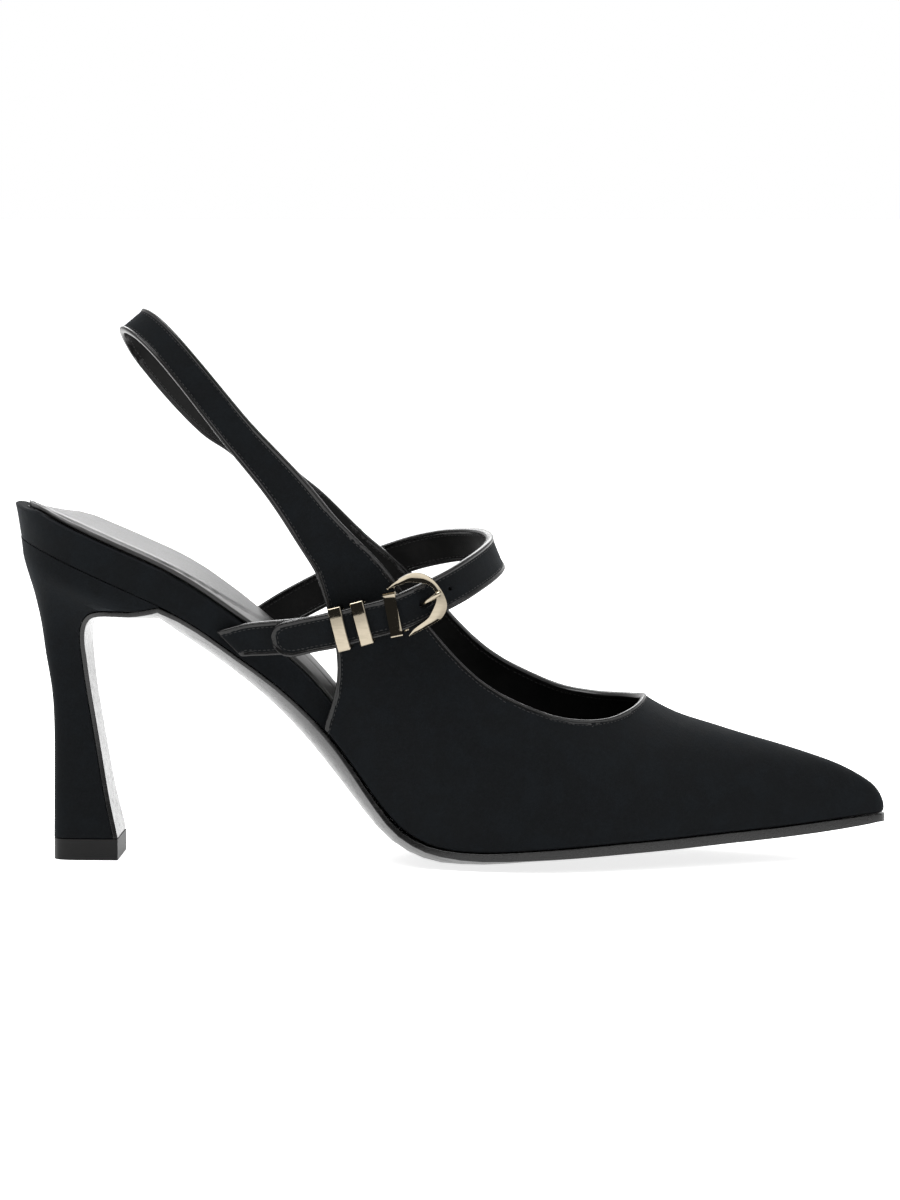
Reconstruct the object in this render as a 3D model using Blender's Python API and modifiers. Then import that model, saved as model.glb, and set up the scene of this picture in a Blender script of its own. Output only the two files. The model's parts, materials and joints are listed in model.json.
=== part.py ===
"""Slingback pump with a pointed toe, right foot, in metres with +Z up.

The origin is the centre of the heel tip's ground face. +X points to the toe and -Y to the outer side.
Distances called along are measured from the heel's back, level with the floor.
"""
import math
from collections import namedtuple

import bmesh
import bpy
import numpy as np
from mathutils import Matrix, Vector

# The last
LENGTH = 0.2471            # heel's back to the last's toe, along the floor
HEEL_HEIGHT = 0.0900       # floor to the seat's lower edge
BALL_WIDTH = 0.0720        # last across the ball
INSTEP = 0.0390            # scale of the instep ridge's rise over the sole
HEEL_OVERHANG = 0.0208     # heel's back behind the origin

# Thicknesses and clearances
SEAM_GAP = 0.0003          # between pieces that touch
WALL = 0.0017              # suede, stiffener and lining
BINDING_WIDTH = 0.0016     # rolled leather edge
BINDING_RISE = 0.0004      # proud of the wall
BINDING_STEP = 0.0005      # run of the step beside it
SOLE_REVEAL = 0.0005       # outsole's edge beyond the upper
SOLE_EDGE = 0.0028         # outsole's edge in the forepart
BOARD_SEAT = 0.0108        # insole board at the seat and waist
BOARD_FORE = 0.0026        # insole board in the forepart
BOARD_INSET = 0.0006       # board's edge inside the upper
BOARD_ROUND = 0.0010       # softened top edge of the board
SEAT_FLARE = 0.0016        # board's top beyond its foot
SOCK_THICKNESS = 0.0018
SOCK_MARGIN = 0.0011       # board's rim beyond the sock
SOCK_ROUND = 0.0006
BOARD_END = 0.96           # share of LENGTH where the board ends in the toe
SOCK_END = 0.94
BOW_FULLNESS = 2.2         # exponent of the sole's bow across, 2 is a parabola

# Heel
SEAT_LENGTH = 0.0433       # heel's back to the front of the heel's seat
TIP_LENGTH = 0.0188
TIP_WIDTH = 0.0258
TIP_HEIGHT = 0.0060
FLAP_THICKNESS = 0.0013    # outsole on the heel's breast
FLAP_BEND = 0.0040         # run of the bend from the breast into the arch

# Quarters and sling
QUARTER_BACK = 0.0900      # heel's back to the quarter's rear edge at the sole
QUARTER_CURVE = 0.0045     # rear edge's swell to the front
QUARTER_FEET = (0.0050, 0.0080, 0.0095, 0.0115)    # rear edge to the feet of the sling's front columns
SLING_WIDTH = 0.0092       # behind the ankle
COLLAR_LEAD = 0.70         # how much sooner the upper's columns reach the throat than the toe
ROW_CLOSENESS = 1.4        # above 1 the upper's rows stand closer at the sole
TOE_SHARES = (0.975, 0.99, 1.0)    # closer columns round the toe, as shares from quarter to toe

# Straps
STRAP_WIDTH = 0.0100
STRAP_THICKNESS = 0.0016
STRAP_STEP = 0.0032        # between rows of points along a strap
HOLE_RADIUS = 0.0014
HOLE_PLACE = 0.0062        # bar to the hole that the prong goes through

# Buckle and keepers
BUCKLE_SHARE = 0.4533      # heel's back to the bar, as a share of LENGTH
BAR_ROD = 0.0006           # radius
FRAME_LENGTH = 0.0117      # bar to the far end, between rod centres
FRAME_HEIGHT = 0.0148      # between rod centres
FRAME_SQUARENESS = 0.65    # exponent of its outline, 1 is round
FRAME_ROD = 0.0012         # radius at the far end
PRONG_ROD = 0.0005         # radius
PRONG_SWING = 0.28         # how far the prong turns up, for each metre along the strap
KEEPER_SHEET = 0.0007
KEEPER_WIDTH = 0.0037
KEEPER_SPACES = (0.0172, 0.0109)    # bar back to each narrow keeper
BUCKLE_KEEPER_WIDTH = 0.0027
BUCKLE_KEEPER_SPACE = 0.0023        # bar back to the wide keeper

# Rows run from the heel's back to the toe. along is a share of LENGTH, outer and inner of BALL_WIDTH,
# height of HEEL_HEIGHT, edge of SOLE_EDGE and bow of BALL_WIDTH. reach is how far the outsole comes out
# under the upper, fit how far the board draws in, board how much of its seat thickness is left.
Station = namedtuple("Station", "along outer inner height edge bow reach fit board")
LAST = [
    Station(0.000, 0.000, 0.000, 1.033, 0.50, 0.030, 0.0, 0.0, 1.00),
    Station(0.009, 0.144, 0.144, 1.022, 0.50, 0.030, 0.0, 0.0, 1.00),
    Station(0.035, 0.260, 0.261, 0.991, 0.50, 0.030, 0.0, 0.0, 1.00),
    Station(0.073, 0.324, 0.326, 0.943, 0.50, 0.030, 0.0, 0.0, 1.00),
    Station(0.126, 0.347, 0.347, 0.879, 0.50, 0.030, 0.0, 0.0, 1.00),
    Station(0.179, 0.339, 0.332, 0.813, 0.45, 0.056, 0.0, 0.0, 1.00),
    Station(0.219, 0.325, 0.308, 0.749, 0.36, 0.066, 0.0, 0.0, 1.00),
    Station(0.264, 0.310, 0.278, 0.661, 0.36, 0.064, 0.0, 0.0, 1.00),
    Station(0.309, 0.297, 0.253, 0.568, 0.36, 0.071, 0.0, 0.0, 1.00),
    Station(0.349, 0.292, 0.239, 0.466, 0.36, 0.078, 0.0, 1.0, 1.00),
    Station(0.382, 0.294, 0.236, 0.362, 0.36, 0.080, 0.4, 1.0, 0.92),
    Station(0.414, 0.314, 0.253, 0.240, 0.43, 0.070, 0.8, 1.0, 0.72),
    Station(0.443, 0.344, 0.292, 0.140, 0.50, 0.064, 1.0, 1.0, 0.44),
    Station(0.471, 0.383, 0.342, 0.089, 0.60, 0.064, 1.0, 1.0, 0.22),
    Station(0.503, 0.428, 0.397, 0.066, 0.68, 0.063, 1.0, 1.0, 0.08),
    Station(0.548, 0.476, 0.456, 0.061, 0.79, 0.052, 1.0, 1.0, 0.00),
    Station(0.601, 0.501, 0.497, 0.070, 0.86, 0.042, 1.0, 1.0, 0.00),
    Station(0.650, 0.490, 0.501, 0.080, 0.96, 0.037, 1.0, 1.0, 0.00),
    Station(0.706, 0.436, 0.468, 0.090, 1.00, 0.031, 1.0, 1.0, 0.00),
    Station(0.763, 0.358, 0.406, 0.098, 1.00, 0.024, 1.0, 1.0, 0.00),
    Station(0.820, 0.272, 0.325, 0.108, 1.00, 0.018, 1.0, 1.0, 0.00),
    Station(0.877, 0.185, 0.238, 0.117, 1.00, 0.012, 1.0, 1.0, 0.00),
    Station(0.926, 0.111, 0.160, 0.128, 1.00, 0.007, 1.0, 1.0, 0.00),
    Station(0.962, 0.057, 0.100, 0.137, 0.95, 0.004, 1.0, 1.0, 0.00),
    Station(0.987, 0.017, 0.058, 0.143, 0.86, 0.001, 1.0, 1.0, 0.00),
    Station(0.997, -0.001, 0.043, 0.146, 0.80, 0.000, 1.0, 1.0, 0.00),
    Station(1.000, -0.021, 0.021, 0.147, 0.80, 0.000, 1.0, 1.0, 0.00),
]

# The last's cross sections: rise is a share of INSTEP, ridge and the two swells of BALL_WIDTH.
Crown = namedtuple("Crown", "along rise ridge fullness outer_swell inner_swell")
CROWN = [
    Crown(0.284, 2.513, 0.014, 2.30, 0.125, 0.181),
    Crown(0.341, 2.487, 0.021, 2.30, 0.114, 0.174),
    Crown(0.398, 2.436, 0.028, 2.40, 0.092, 0.146),
    Crown(0.455, 2.308, 0.035, 2.40, 0.056, 0.090),
    Crown(0.512, 2.077, 0.042, 2.20, 0.021, 0.042),
    Crown(0.568, 1.821, 0.044, 2.00, 0.008, 0.014),
    Crown(0.617, 1.564, 0.044, 1.90, 0.004, 0.006),
    Crown(0.658, 1.333, 0.044, 1.85, 0.000, 0.000),
    Crown(0.694, 1.122, 0.044, 1.80, 0.000, 0.000),
    Crown(0.727, 0.924, 0.043, 1.80, 0.000, 0.000),
    Crown(0.759, 0.806, 0.042, 1.80, 0.000, 0.000),
    Crown(0.792, 0.728, 0.039, 1.80, 0.000, 0.000),
    Crown(0.836, 0.622, 0.036, 1.85, 0.000, 0.000),
    Crown(0.881, 0.525, 0.033, 1.90, 0.000, 0.000),
    Crown(0.922, 0.420, 0.031, 1.95, 0.000, 0.000),
    Crown(0.954, 0.328, 0.028, 2.00, 0.000, 0.000),
    Crown(0.978, 0.234, 0.024, 2.10, 0.000, 0.000),
    Crown(0.987, 0.200, 0.023, 2.15, 0.000, 0.000),
    Crown(0.993, 0.167, 0.022, 2.20, 0.000, 0.000),
    Crown(0.997, 0.140, 0.021, 2.25, 0.000, 0.000),
    Crown(1.000, 0.110, 0.021, 2.30, 0.000, 0.000),
]

# The collar from the sling's front edge to the throat: outer and inner are shares of the ridge's rise.
Collar = namedtuple("Collar", "along outer inner")
COLLAR = [
    Collar(0.402, 0.686, 0.662),
    Collar(0.434, 0.728, 0.733),
    Collar(0.467, 0.720, 0.763),
    Collar(0.499, 0.683, 0.739),
    Collar(0.532, 0.636, 0.694),
    Collar(0.564, 0.606, 0.667),
    Collar(0.597, 0.599, 0.663),
    Collar(0.629, 0.607, 0.672),
    Collar(0.662, 0.658, 0.731),
    Collar(0.687, 0.736, 0.808),
    Collar(0.706, 0.846, 0.895),
    Collar(0.718, 0.945, 0.965),
    Collar(0.723, 1.000, 1.000),
]
SLING_BACK = Collar(0.353, 0.434, 0.434)    # sling's rear edge where it leaves the quarters

# The sling from the outer quarter round the ankle to the inner one, its middle line: across is a share
# of BALL_WIDTH, width of SLING_WIDTH, lean the angle of its width from upright, to the front.
Sling = namedtuple("Sling", "along across height lean width")
SLING = [
    Sling(0.357, -0.350, 1.053, 54, 1.44),
    Sling(0.337, -0.346, 1.130, 52, 1.33),
    Sling(0.315, -0.338, 1.207, 51, 1.22),
    Sling(0.291, -0.326, 1.281, 52, 1.13),
    Sling(0.262, -0.305, 1.369, 55, 1.05),
    Sling(0.227, -0.271, 1.486, 57, 1.00),
    Sling(0.190, -0.215, 1.603, 58, 0.98),
    Sling(0.161, -0.132, 1.676, 55, 1.00),
    Sling(0.141, -0.021, 1.696, 50, 1.01),
    Sling(0.145, 0.083, 1.643, 49, 1.02),
    Sling(0.160, 0.153, 1.575, 49, 1.02),
    Sling(0.179, 0.208, 1.505, 48, 1.02),
    Sling(0.203, 0.250, 1.428, 42, 1.02),
    Sling(0.227, 0.278, 1.364, 36, 1.03),
    Sling(0.252, 0.299, 1.318, 38, 1.02),
    Sling(0.276, 0.317, 1.255, 42, 1.03),
    Sling(0.303, 0.331, 1.180, 46, 1.09),
    Sling(0.337, 0.343, 1.096, 51, 1.25),
]

# Middle lines of the straps, as shares like the sling's
Turn = namedtuple("Turn", "along across height lean")
INSTEP_STRAP = [
    Turn(0.307, -0.406, 0.714, -12),
    Turn(0.327, -0.420, 0.722, -13),
    Turn(0.350, -0.434, 0.737, -15),
    Turn(0.374, -0.446, 0.750, -16),
    Turn(0.410, -0.458, 0.776, -18),
    Turn(0.447, -0.461, 0.804, -20),
    Turn(0.471, -0.453, 0.831, -22),
    Turn(0.503, -0.414, 0.873, -26),
    Turn(0.518, -0.375, 0.894, -27),
    Turn(0.533, -0.306, 0.918, -26),
    Turn(0.546, -0.215, 0.940, -25),
    Turn(0.555, -0.111, 0.960, -23),
    Turn(0.556, 0.000, 0.973, -22),
    Turn(0.549, 0.111, 0.982, -23),
    Turn(0.535, 0.222, 0.983, -25),
    Turn(0.512, 0.312, 0.978, -26),
    Turn(0.490, 0.368, 0.968, -25),
    Turn(0.454, 0.414, 0.943, -24),
    Turn(0.406, 0.421, 0.896, -24),
    Turn(0.360, 0.392, 0.842, -24),
    Turn(0.313, 0.347, 0.776, -28),
    Turn(0.280, 0.317, 0.720, -38),
    Turn(0.258, 0.306, 0.684, -45),
]
BUCKLE_STRAP_ROOT = [
    Turn(0.255, -0.334, 0.701, -45),
    Turn(0.273, -0.340, 0.710, -36),
    Turn(0.289, -0.348, 0.717, -24),
]
UNDER_STRAP = (0.340, 0.368, 0.397, 0.425, 0.445)    # shares of LENGTH where the buckle strap runs beneath

# The heel from its seat to its foot. Each value but the heights is 1 at the seat and 0 at the foot;
# heights are shares of the rise from foot to seat. square is 1 for the foot's outline.
Level = namedtuple("Level", "front front_height back back_height width square bow")
HEEL = [
    Level(1.000, 1.000, 1.000, 1.000, 1.000, 0.00, 0.046),
    Level(0.521, 0.981, 0.937, 0.949, 0.921, 0.10, 0.026),
    Level(0.144, 0.979, 0.832, 0.908, 0.746, 0.20, 0.020),
    Level(-0.185, 0.977, 0.716, 0.871, 0.535, 0.32, 0.017),
    Level(-0.432, 0.960, 0.589, 0.829, 0.342, 0.45, 0.012),
    Level(-0.582, 0.915, 0.474, 0.780, 0.149, 0.60, 0.006),
    Level(-0.630, 0.847, 0.347, 0.710, -0.026, 0.72, 0.002),
    Level(-0.596, 0.757, 0.232, 0.610, -0.167, 0.80, 0.000),
    Level(-0.527, 0.632, 0.074, 0.499, -0.272, 0.86, 0.000),
    Level(-0.432, 0.503, 0.010, 0.394, -0.298, 0.90, 0.000),
    Level(-0.308, 0.339, 0.000, 0.265, -0.263, 0.94, 0.000),
    Level(-0.185, 0.182, 0.000, 0.143, -0.175, 0.97, 0.000),
    Level(-0.082, 0.078, 0.000, 0.061, -0.079, 0.99, 0.000),
    Level(0.000, 0.000, 0.000, 0.000, 0.000, 1.00, 0.000),
]
FOOT_SQUARENESS = 6.0      # exponent of the foot's outline, 2 is round
HEEL_POINTS = 30           # round one level of the heel
OUTER = -1
INNER = 1
SIDE_NAMES = {OUTER: "outer", INNER: "inner"}

BLACK_SUEDE = ((0.012, 0.012, 0.014), 0.95, 0.0)
BLACK_LEATHER = ((0.015, 0.015, 0.017), 0.45, 0.0)
SOCK_LEATHER = ((0.030, 0.030, 0.032), 0.40, 0.0)
BLACK_SOLE = ((0.018, 0.018, 0.020), 0.35, 0.0)
BLACK_RUBBER = ((0.020, 0.020, 0.022), 0.50, 0.0)
PALE_GOLD = ((0.83, 0.70, 0.50), 0.18, 1.0)


def clear_scene():
    """Remove whatever the file starts with."""
    for old in list(bpy.data.objects):
        bpy.data.objects.remove(old, do_unlink=True)


def new_collection(name):
    """A collection linked to the scene."""
    group = bpy.data.collections.new(name)
    bpy.context.scene.collection.children.link(group)
    return group


def new_material(name, finish):
    """Principled material from a colour, roughness and metallic value."""
    colour, roughness, metallic = finish
    material = bpy.data.materials.new(name)
    material.use_nodes = True
    shader = material.node_tree.nodes["Principled BSDF"]
    shader.inputs["Base Color"].default_value = (*colour, 1.0)
    shader.inputs["Roughness"].default_value = roughness
    shader.inputs["Metallic"].default_value = metallic
    material.diffuse_color = (*colour, 1.0)
    return material


def new_object(name, data, finish, group):
    """Object with its own material."""
    thing = bpy.data.objects.new(name, data)
    data.materials.append(new_material(name, finish))
    group.objects.link(thing)
    return thing


def smooth(values, steps=16):
    """Values on a smooth curve through evenly numbered rows."""
    points = np.array(values, dtype=float)
    ends = np.concatenate([[2 * points[0] - points[1]], points, [2 * points[-1] - points[-2]]])
    part = np.arange(steps) / steps
    out = []
    for low in range(len(points) - 1):
        p0, p1, p2, p3 = ends[low:low + 4]
        slope = (p2 - p0) / 2
        bend = (2 * p0 - 5 * p1 + 4 * p2 - p3) / 2
        twist = (3 * p1 - p0 - 3 * p2 + p3) / 2
        out.extend(p1 + slope * part + bend * part ** 2 + twist * part ** 3)
    out.append(points[-1])
    return np.array(out)


def column(table, name):
    """A column of a table as a smooth function of the share along."""
    shares = smooth([row.along for row in table])
    values = smooth([getattr(row, name) for row in table])
    return lambda along: float(np.interp(along / LENGTH, shares, values))


feather_share = column(LAST, "height")
edge_share = column(LAST, "edge")
bow_share = column(LAST, "bow")
reach_share = column(LAST, "reach")
fit_share = column(LAST, "fit")
board_share = column(LAST, "board")
rise_share = column(CROWN, "rise")
ridge_share = column(CROWN, "ridge")
fullness_at = column(CROWN, "fullness")
swell_share = {side: column(CROWN, SIDE_NAMES[side] + "_swell") for side in SIDE_NAMES}


def place(along, across, height):
    """A point from its distance along, across and up."""
    return Vector((along - HEEL_OVERHANG, across, height))


def feather(along):
    """Height of the line where the upper or the board meets what is under it."""
    return feather_share(along) * HEEL_HEIGHT


def steepness(along):
    """Fall of the feather line for each metre along."""
    step = 0.001
    return (feather(along - step) - feather(along + step)) / (2 * step)


def outline(side, offset):
    """The last's outline on one side, moved out by an offset that may vary along it."""
    along = smooth([row.along for row in LAST]) * LENGTH
    across = smooth([getattr(row, SIDE_NAMES[side]) for row in LAST]) * BALL_WIDTH * side
    run = np.gradient(along)
    turn = np.gradient(across)
    size = np.hypot(run, turn)
    shift = np.array([offset(value) for value in along])
    return along - side * turn / size * shift, across + side * run / size * shift


def edge_of(side, offset):
    """Distance across of a moved outline as a function of the distance along."""
    along, across = outline(side, offset)
    return lambda value: float(np.interp(value, along, across))


last_edge = {side: edge_of(side, lambda along: 0.0) for side in SIDE_NAMES}


def sole_offset(along):
    """How far the outsole's edge lies outside the last."""
    return (WALL + SOLE_REVEAL) * reach_share(along)


def board_offset(along):
    """How far the board's edge lies inside the last, negative."""
    return -BOARD_INSET * fit_share(along)


def ridge_at(along):
    """Distance across of the instep ridge."""
    return ridge_share(along) * BALL_WIDTH


def upper_foot(along):
    """Height of the upper's lower edge, clear of the outsole on a slope."""
    slope = abs(steepness(along))
    return feather(along) + SEAM_GAP * slope + WALL * slope * 0.5


def turn_of(along, share):
    """Angle round the section at which the surface has this share of its rise."""
    return math.asin(min(share, 1.0) ** (fullness_at(along) / 2))


def last_point(along, side, turn):
    """Point of the last's surface, turn going from the feather line to the ridge."""
    power = 2 / fullness_at(along)
    ridge = ridge_at(along)
    half = last_edge[side](along) - ridge
    swell = swell_share[side](along) * BALL_WIDTH * math.sin(2 * turn)
    across = ridge + half * max(math.cos(turn), 0.0) ** power + side * swell
    height = upper_foot(along) + math.sin(turn) ** power * rise_share(along) * INSTEP
    return place(along, across, height)


def plan_of(along, side, turn):
    """Distance across of a surface point without the section's swell."""
    ridge = ridge_at(along)
    half = last_edge[side](along) - ridge
    return ridge + half * max(math.cos(turn), 0.0) ** (2 / fullness_at(along))


def plan_point(along, across):
    """Surface point above a place in the plan."""
    ridge = ridge_at(along)
    side = INNER if across > ridge else OUTER
    half = abs(last_edge[side](along) - ridge)
    share = min(abs(across - ridge) / max(half, 1e-9), 1.0)
    return side, math.acos(share ** (fullness_at(along) / 2))


def spread(points, distances):
    """Points at given distances along a polyline; negative ones count from its end."""
    path = np.array([tuple(point) for point in points])
    steps = np.linalg.norm(np.diff(path, axis=0), axis=1)
    run = np.concatenate([[0.0], np.cumsum(steps)])
    out = []
    for distance in distances(run[-1]):
        out.append(Vector([np.interp(distance, run, path[:, axis]) for axis in range(3)]))
    return out


def loft(name, rings, finish, group):
    """Closed solid through rings of equal length, capped at both ends."""
    mesh = bpy.data.meshes.new(name)
    body = bmesh.new()
    levels = [[body.verts.new(point) for point in ring] for ring in rings]
    for low, high in zip(levels, levels[1:]):
        for index in range(len(low)):
            after = (index + 1) % len(low)
            body.faces.new((low[index], low[after], high[after], high[index]))
    body.faces.new(levels[0][::-1])
    body.faces.new(levels[-1])
    bmesh.ops.recalc_face_normals(body, faces=body.faces)
    body.to_mesh(mesh)
    body.free()
    mesh.shade_smooth()
    mesh.set_sharp_from_angle(angle=math.radians(35))
    return new_object(name, mesh, finish, group)


def thicken(thing, thickness, rise, offset, raised):
    """Wall with Solidify, thicker by the binding's rise at the raised vertices."""
    group = thing.vertex_groups.new(name="binding")
    group.add(raised, 1.0, "REPLACE")
    wall = thing.modifiers.new("wall", "SOLIDIFY")
    wall.thickness = thickness + rise
    wall.offset = offset
    wall.vertex_group = group.name
    wall.thickness_vertex_group = thickness / (thickness + rise)


def band_places(width):
    """Distances across a bound strap: binding, step, middle, step, binding."""
    step = BINDING_WIDTH + BINDING_STEP
    return [0.0, BINDING_WIDTH, step, width / 2, width - step, width - BINDING_WIDTH, width]


def strap_row(middle, lean, width):
    """Points across a strap whose width leans from upright by an angle."""
    rise = Vector((math.sin(math.radians(lean)), 0.0, math.cos(math.radians(lean))))
    return [middle + rise * (distance - width / 2) for distance in band_places(width)]


# Sole and insole

def build_outsole(group):
    """Sole from the toe up the arch, under the heel's front and down its breast to the tip."""
    path = []
    for level in heel_levels(3)[::-1]:
        front = level_front(level)
        widths = {side: level_width(level, side) for side in SIDE_NAMES}
        path.append((front, widths, FLAP_THICKNESS, level.bow * BALL_WIDTH))
    reach = edge_of(OUTER, sole_offset), edge_of(INNER, sole_offset)
    toe = outline(OUTER, sole_offset)[0].max() - SEAM_GAP
    start = SEAT_LENGTH + FLAP_BEND
    stations = [value for value in outline(OUTER, sole_offset)[0][::8] if start < value < toe]
    for along in stations + [toe]:
        widths = {OUTER: reach[0](along), INNER: reach[1](along)}
        point = Vector((along, 0.0, feather(along)))
        path.append((point, widths, edge_share(along) * SOLE_EDGE, bow_share(along) * BALL_WIDTH))
    rings = []
    for index, (point, widths, edge, bow) in enumerate(path):
        before = path[max(index - 1, 0)][0]
        after = path[min(index + 1, len(path) - 1)][0]
        ahead = (after - before).normalized()
        down = Vector((ahead.z, 0.0, -ahead.x))
        if index == 0:
            down = Vector((1.0, 0.0, 0.0))
        top = point + down * SEAM_GAP
        rings.append(sole_ring(top, down, widths, edge, bow))
    return loft("outsole", rings, BLACK_SOLE, group)


def sole_ring(top, down, widths, edge, bow):
    """One section of the outsole: flat above, bowed below, never under the ground."""
    ring = [place(top.x, widths[INNER], top.z), place(top.x, widths[OUTER], top.z)]
    count = 12
    for index in range(count + 1):
        share = index / count
        across = widths[OUTER] + (widths[INNER] - widths[OUTER]) * share
        depth = edge + bow * (1 - abs(2 * share - 1) ** BOW_FULLNESS)
        low = top + down * depth
        ring.append(place(low.x, across, max(low.z, 0.0)))
    return ring


def build_board(group):
    """Suede-wrapped insole board, thick under the heel and waist."""
    rings = board_rings(0.0, lambda along: board_height(along), BOARD_ROUND, BOARD_END, True)
    return loft("insole_board", rings, BLACK_SUEDE, group)


def board_height(along):
    """Thickness of the board."""
    return BOARD_FORE + (BOARD_SEAT - BOARD_FORE) * board_share(along)


def build_sock(group):
    """Padded leather sock on the board."""
    rings = board_rings(SOCK_MARGIN, lambda along: board_height(along) + SEAM_GAP, SOCK_ROUND, SOCK_END, False)
    return loft("insole", rings, SOCK_LEATHER, group)


def board_rings(margin, level, rounding, end, is_board):
    """Sections of the board or the sock, from the heel's back to a share of the length."""
    top = {side: outline(side, lambda value: board_offset(value) - margin) for side in SIDE_NAMES}
    inner_top = {side: outline(side, lambda value: board_offset(value) - margin - rounding)
                 for side in SIDE_NAMES}
    foot = {side: outline(side, foot_offset if is_board else lambda value: board_offset(value) - margin)
            for side in SIDE_NAMES}
    picks = [1, 4] + list(range(8, len(top[OUTER][0]), 8))
    rings = []
    for index in picks:
        if top[OUTER][0][index] > end * LENGTH:
            break
        ring = []
        for side, order in ((OUTER, (0, 1, 2)), (INNER, (2, 1, 0))):
            points = []
            for curve, kind in ((foot[side], 0), (top[side], 1), (inner_top[side], 2)):
                along = curve[0][index]
                low = feather(along) + (0.0 if is_board else level(along))
                high = feather(along) + level(along) + (0.0 if is_board else SOCK_THICKNESS)
                height = (low, high - rounding, high)[kind]
                points.append(place(along, curve[1][index], height))
            ring.extend(points[kind] for kind in order)
        rings.append(ring)
    return rings


def foot_offset(along):
    """Lower edge of the board inside the last, drawn in most at the heel's back."""
    seat = max(0.0, 1 - along / SEAT_LENGTH)
    return board_offset(along) - SEAT_FLARE * seat ** 0.5


# Heel

def heel_levels(steps):
    """Levels of the heel from seat to foot, smoothly in between."""
    columns = [smooth([getattr(row, name) for row in HEEL], steps) for name in Level._fields]
    return [Level(*values) for values in zip(*columns)]


def heel_foot_front():
    """Front of the heel's foot, behind the outsole's flap."""
    return HEEL_OVERHANG + TIP_LENGTH / 2 - FLAP_THICKNESS - SEAM_GAP


def heel_top(along):
    """Height of the heel's top under the board."""
    return feather(along) - SEAM_GAP


def foot_height():
    """Height of the heel's foot above the tip."""
    return TIP_HEIGHT + SEAM_GAP


def level_front(level):
    """Front point of a level, as a distance along and a height."""
    foot = heel_foot_front()
    along = foot + level.front * (SEAT_LENGTH - foot)
    height = foot_height() + level.front_height * (heel_top(SEAT_LENGTH) - foot_height())
    return Vector((along, 0.0, height))


def level_back(level):
    """Rear point of a level, as a distance along and a height."""
    foot = HEEL_OVERHANG - TIP_LENGTH / 2
    seat = SEAT_FLARE
    along = foot + level.back * (seat - foot)
    height = foot_height() + level.back_height * (heel_top(seat) - foot_height())
    return Vector((along, 0.0, height))


def level_width(level, side):
    """Half width of a level on one side, signed."""
    seat = last_edge[side](SEAT_LENGTH)
    foot = side * TIP_WIDTH / 2
    return foot + level.width * (seat - foot)


def seat_shape():
    """The seat's outline as depths from its front and shares of its half widths."""
    shape = []
    for side in (OUTER, INNER):
        along, across = outline(side, foot_offset)
        keep = along < SEAT_LENGTH
        depth = (SEAT_LENGTH - along[keep]) / (SEAT_LENGTH - along[0])
        share = np.abs(across[keep]) / abs(last_edge[side](SEAT_LENGTH))
        half = [Vector((1.0, 0.0, 0.0))]
        half += [Vector((d, w, 0.0)) for d, w in zip(depth, share)]
        half.append(Vector((0.0, 1.0, 0.0)))
        evenly = spread(half, lambda run: np.linspace(0, run, HEEL_POINTS // 2 + 1))
        evenly = [Vector((point.x, point.y * side, 0.0)) for point in evenly]
        shape.append(evenly)
    return shape[0][::-1] + shape[1][1:]


def foot_shape():
    """The foot's outline with squared rear corners, in the same terms."""
    shape = []
    for index in range(HEEL_POINTS + 1):
        angle = math.pi * (index / HEEL_POINTS - 0.5)
        depth = abs(math.cos(angle)) ** (2 / FOOT_SQUARENESS)
        share = abs(math.sin(angle)) ** (2 / FOOT_SQUARENESS)
        shape.append(Vector((depth if 0 < index < HEEL_POINTS else 0.0, math.copysign(share, angle), 0.0)))
    return shape


def level_ring(level):
    """Outline of the heel at one level, on a plane tilted from its front to its back."""
    front = level_front(level)
    back = level_back(level)
    ring = []
    for seat, foot in zip(seat_shape(), foot_shape()):
        mixed = seat.lerp(foot, level.square)
        side = INNER if mixed.y > 0 else OUTER
        middle = front.lerp(back, mixed.x)
        across = abs(mixed.y) * level_width(level, side)
        height = heel_top(middle.x) if level.square == 0 else middle.z
        ring.append(place(middle.x, across, height))
    return ring


def build_heel(group):
    """Suede-covered heel, lofted from the seat to the foot."""
    rings = [level_ring(level) for level in heel_levels(2)]
    return loft("heel", rings, BLACK_SUEDE, group)


def build_heel_tip(group):
    """Wearing tip under the heel and the flap's end."""
    flat = bpy.data.curves.new("heel_tip", "CURVE")
    flat.dimensions = "2D"
    flat.fill_mode = "BOTH"
    flat.extrude = TIP_HEIGHT / 2
    line = flat.splines.new("POLY")
    shape = foot_shape()
    line.points.add(len(shape) - 1)
    for point, spot in zip(line.points, shape):
        point.co = (TIP_LENGTH * (0.5 - spot.x), TIP_WIDTH / 2 * spot.y, 0.0, 1.0)
    line.use_cyclic_u = True
    tip = new_object("heel_tip", flat, BLACK_RUBBER, group)
    tip.location.z = TIP_HEIGHT / 2
    weld = tip.modifiers.new("weld", "WELD")
    weld.merge_threshold = 0.00001
    return tip


# Upper

def collar_point(side, share):
    """Top of the upper on one side: share 0 at the sling's front edge, 1 at the throat."""
    along = smooth([row.along for row in COLLAR]) * LENGTH
    rise = smooth([getattr(row, SIDE_NAMES[side]) for row in COLLAR])
    points = [last_point(a, side, turn_of(a, r)) for a, r in zip(along, rise)]
    steps = [(points[index + 1] - points[index]).length for index in range(len(points) - 1)]
    run = np.concatenate([[0.0], np.cumsum(steps)])
    spot = share * run[-1]
    return float(np.interp(spot, run, along)), float(np.interp(spot, run, rise))


def root_width():
    """Width of the sling where it leaves the quarters."""
    front = last_point(COLLAR[0].along * LENGTH, OUTER, turn_of(COLLAR[0].along * LENGTH, COLLAR[0].outer))
    back = last_point(SLING_BACK.along * LENGTH, OUTER, turn_of(SLING_BACK.along * LENGTH, SLING_BACK.outer))
    return (front - back).length


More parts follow.
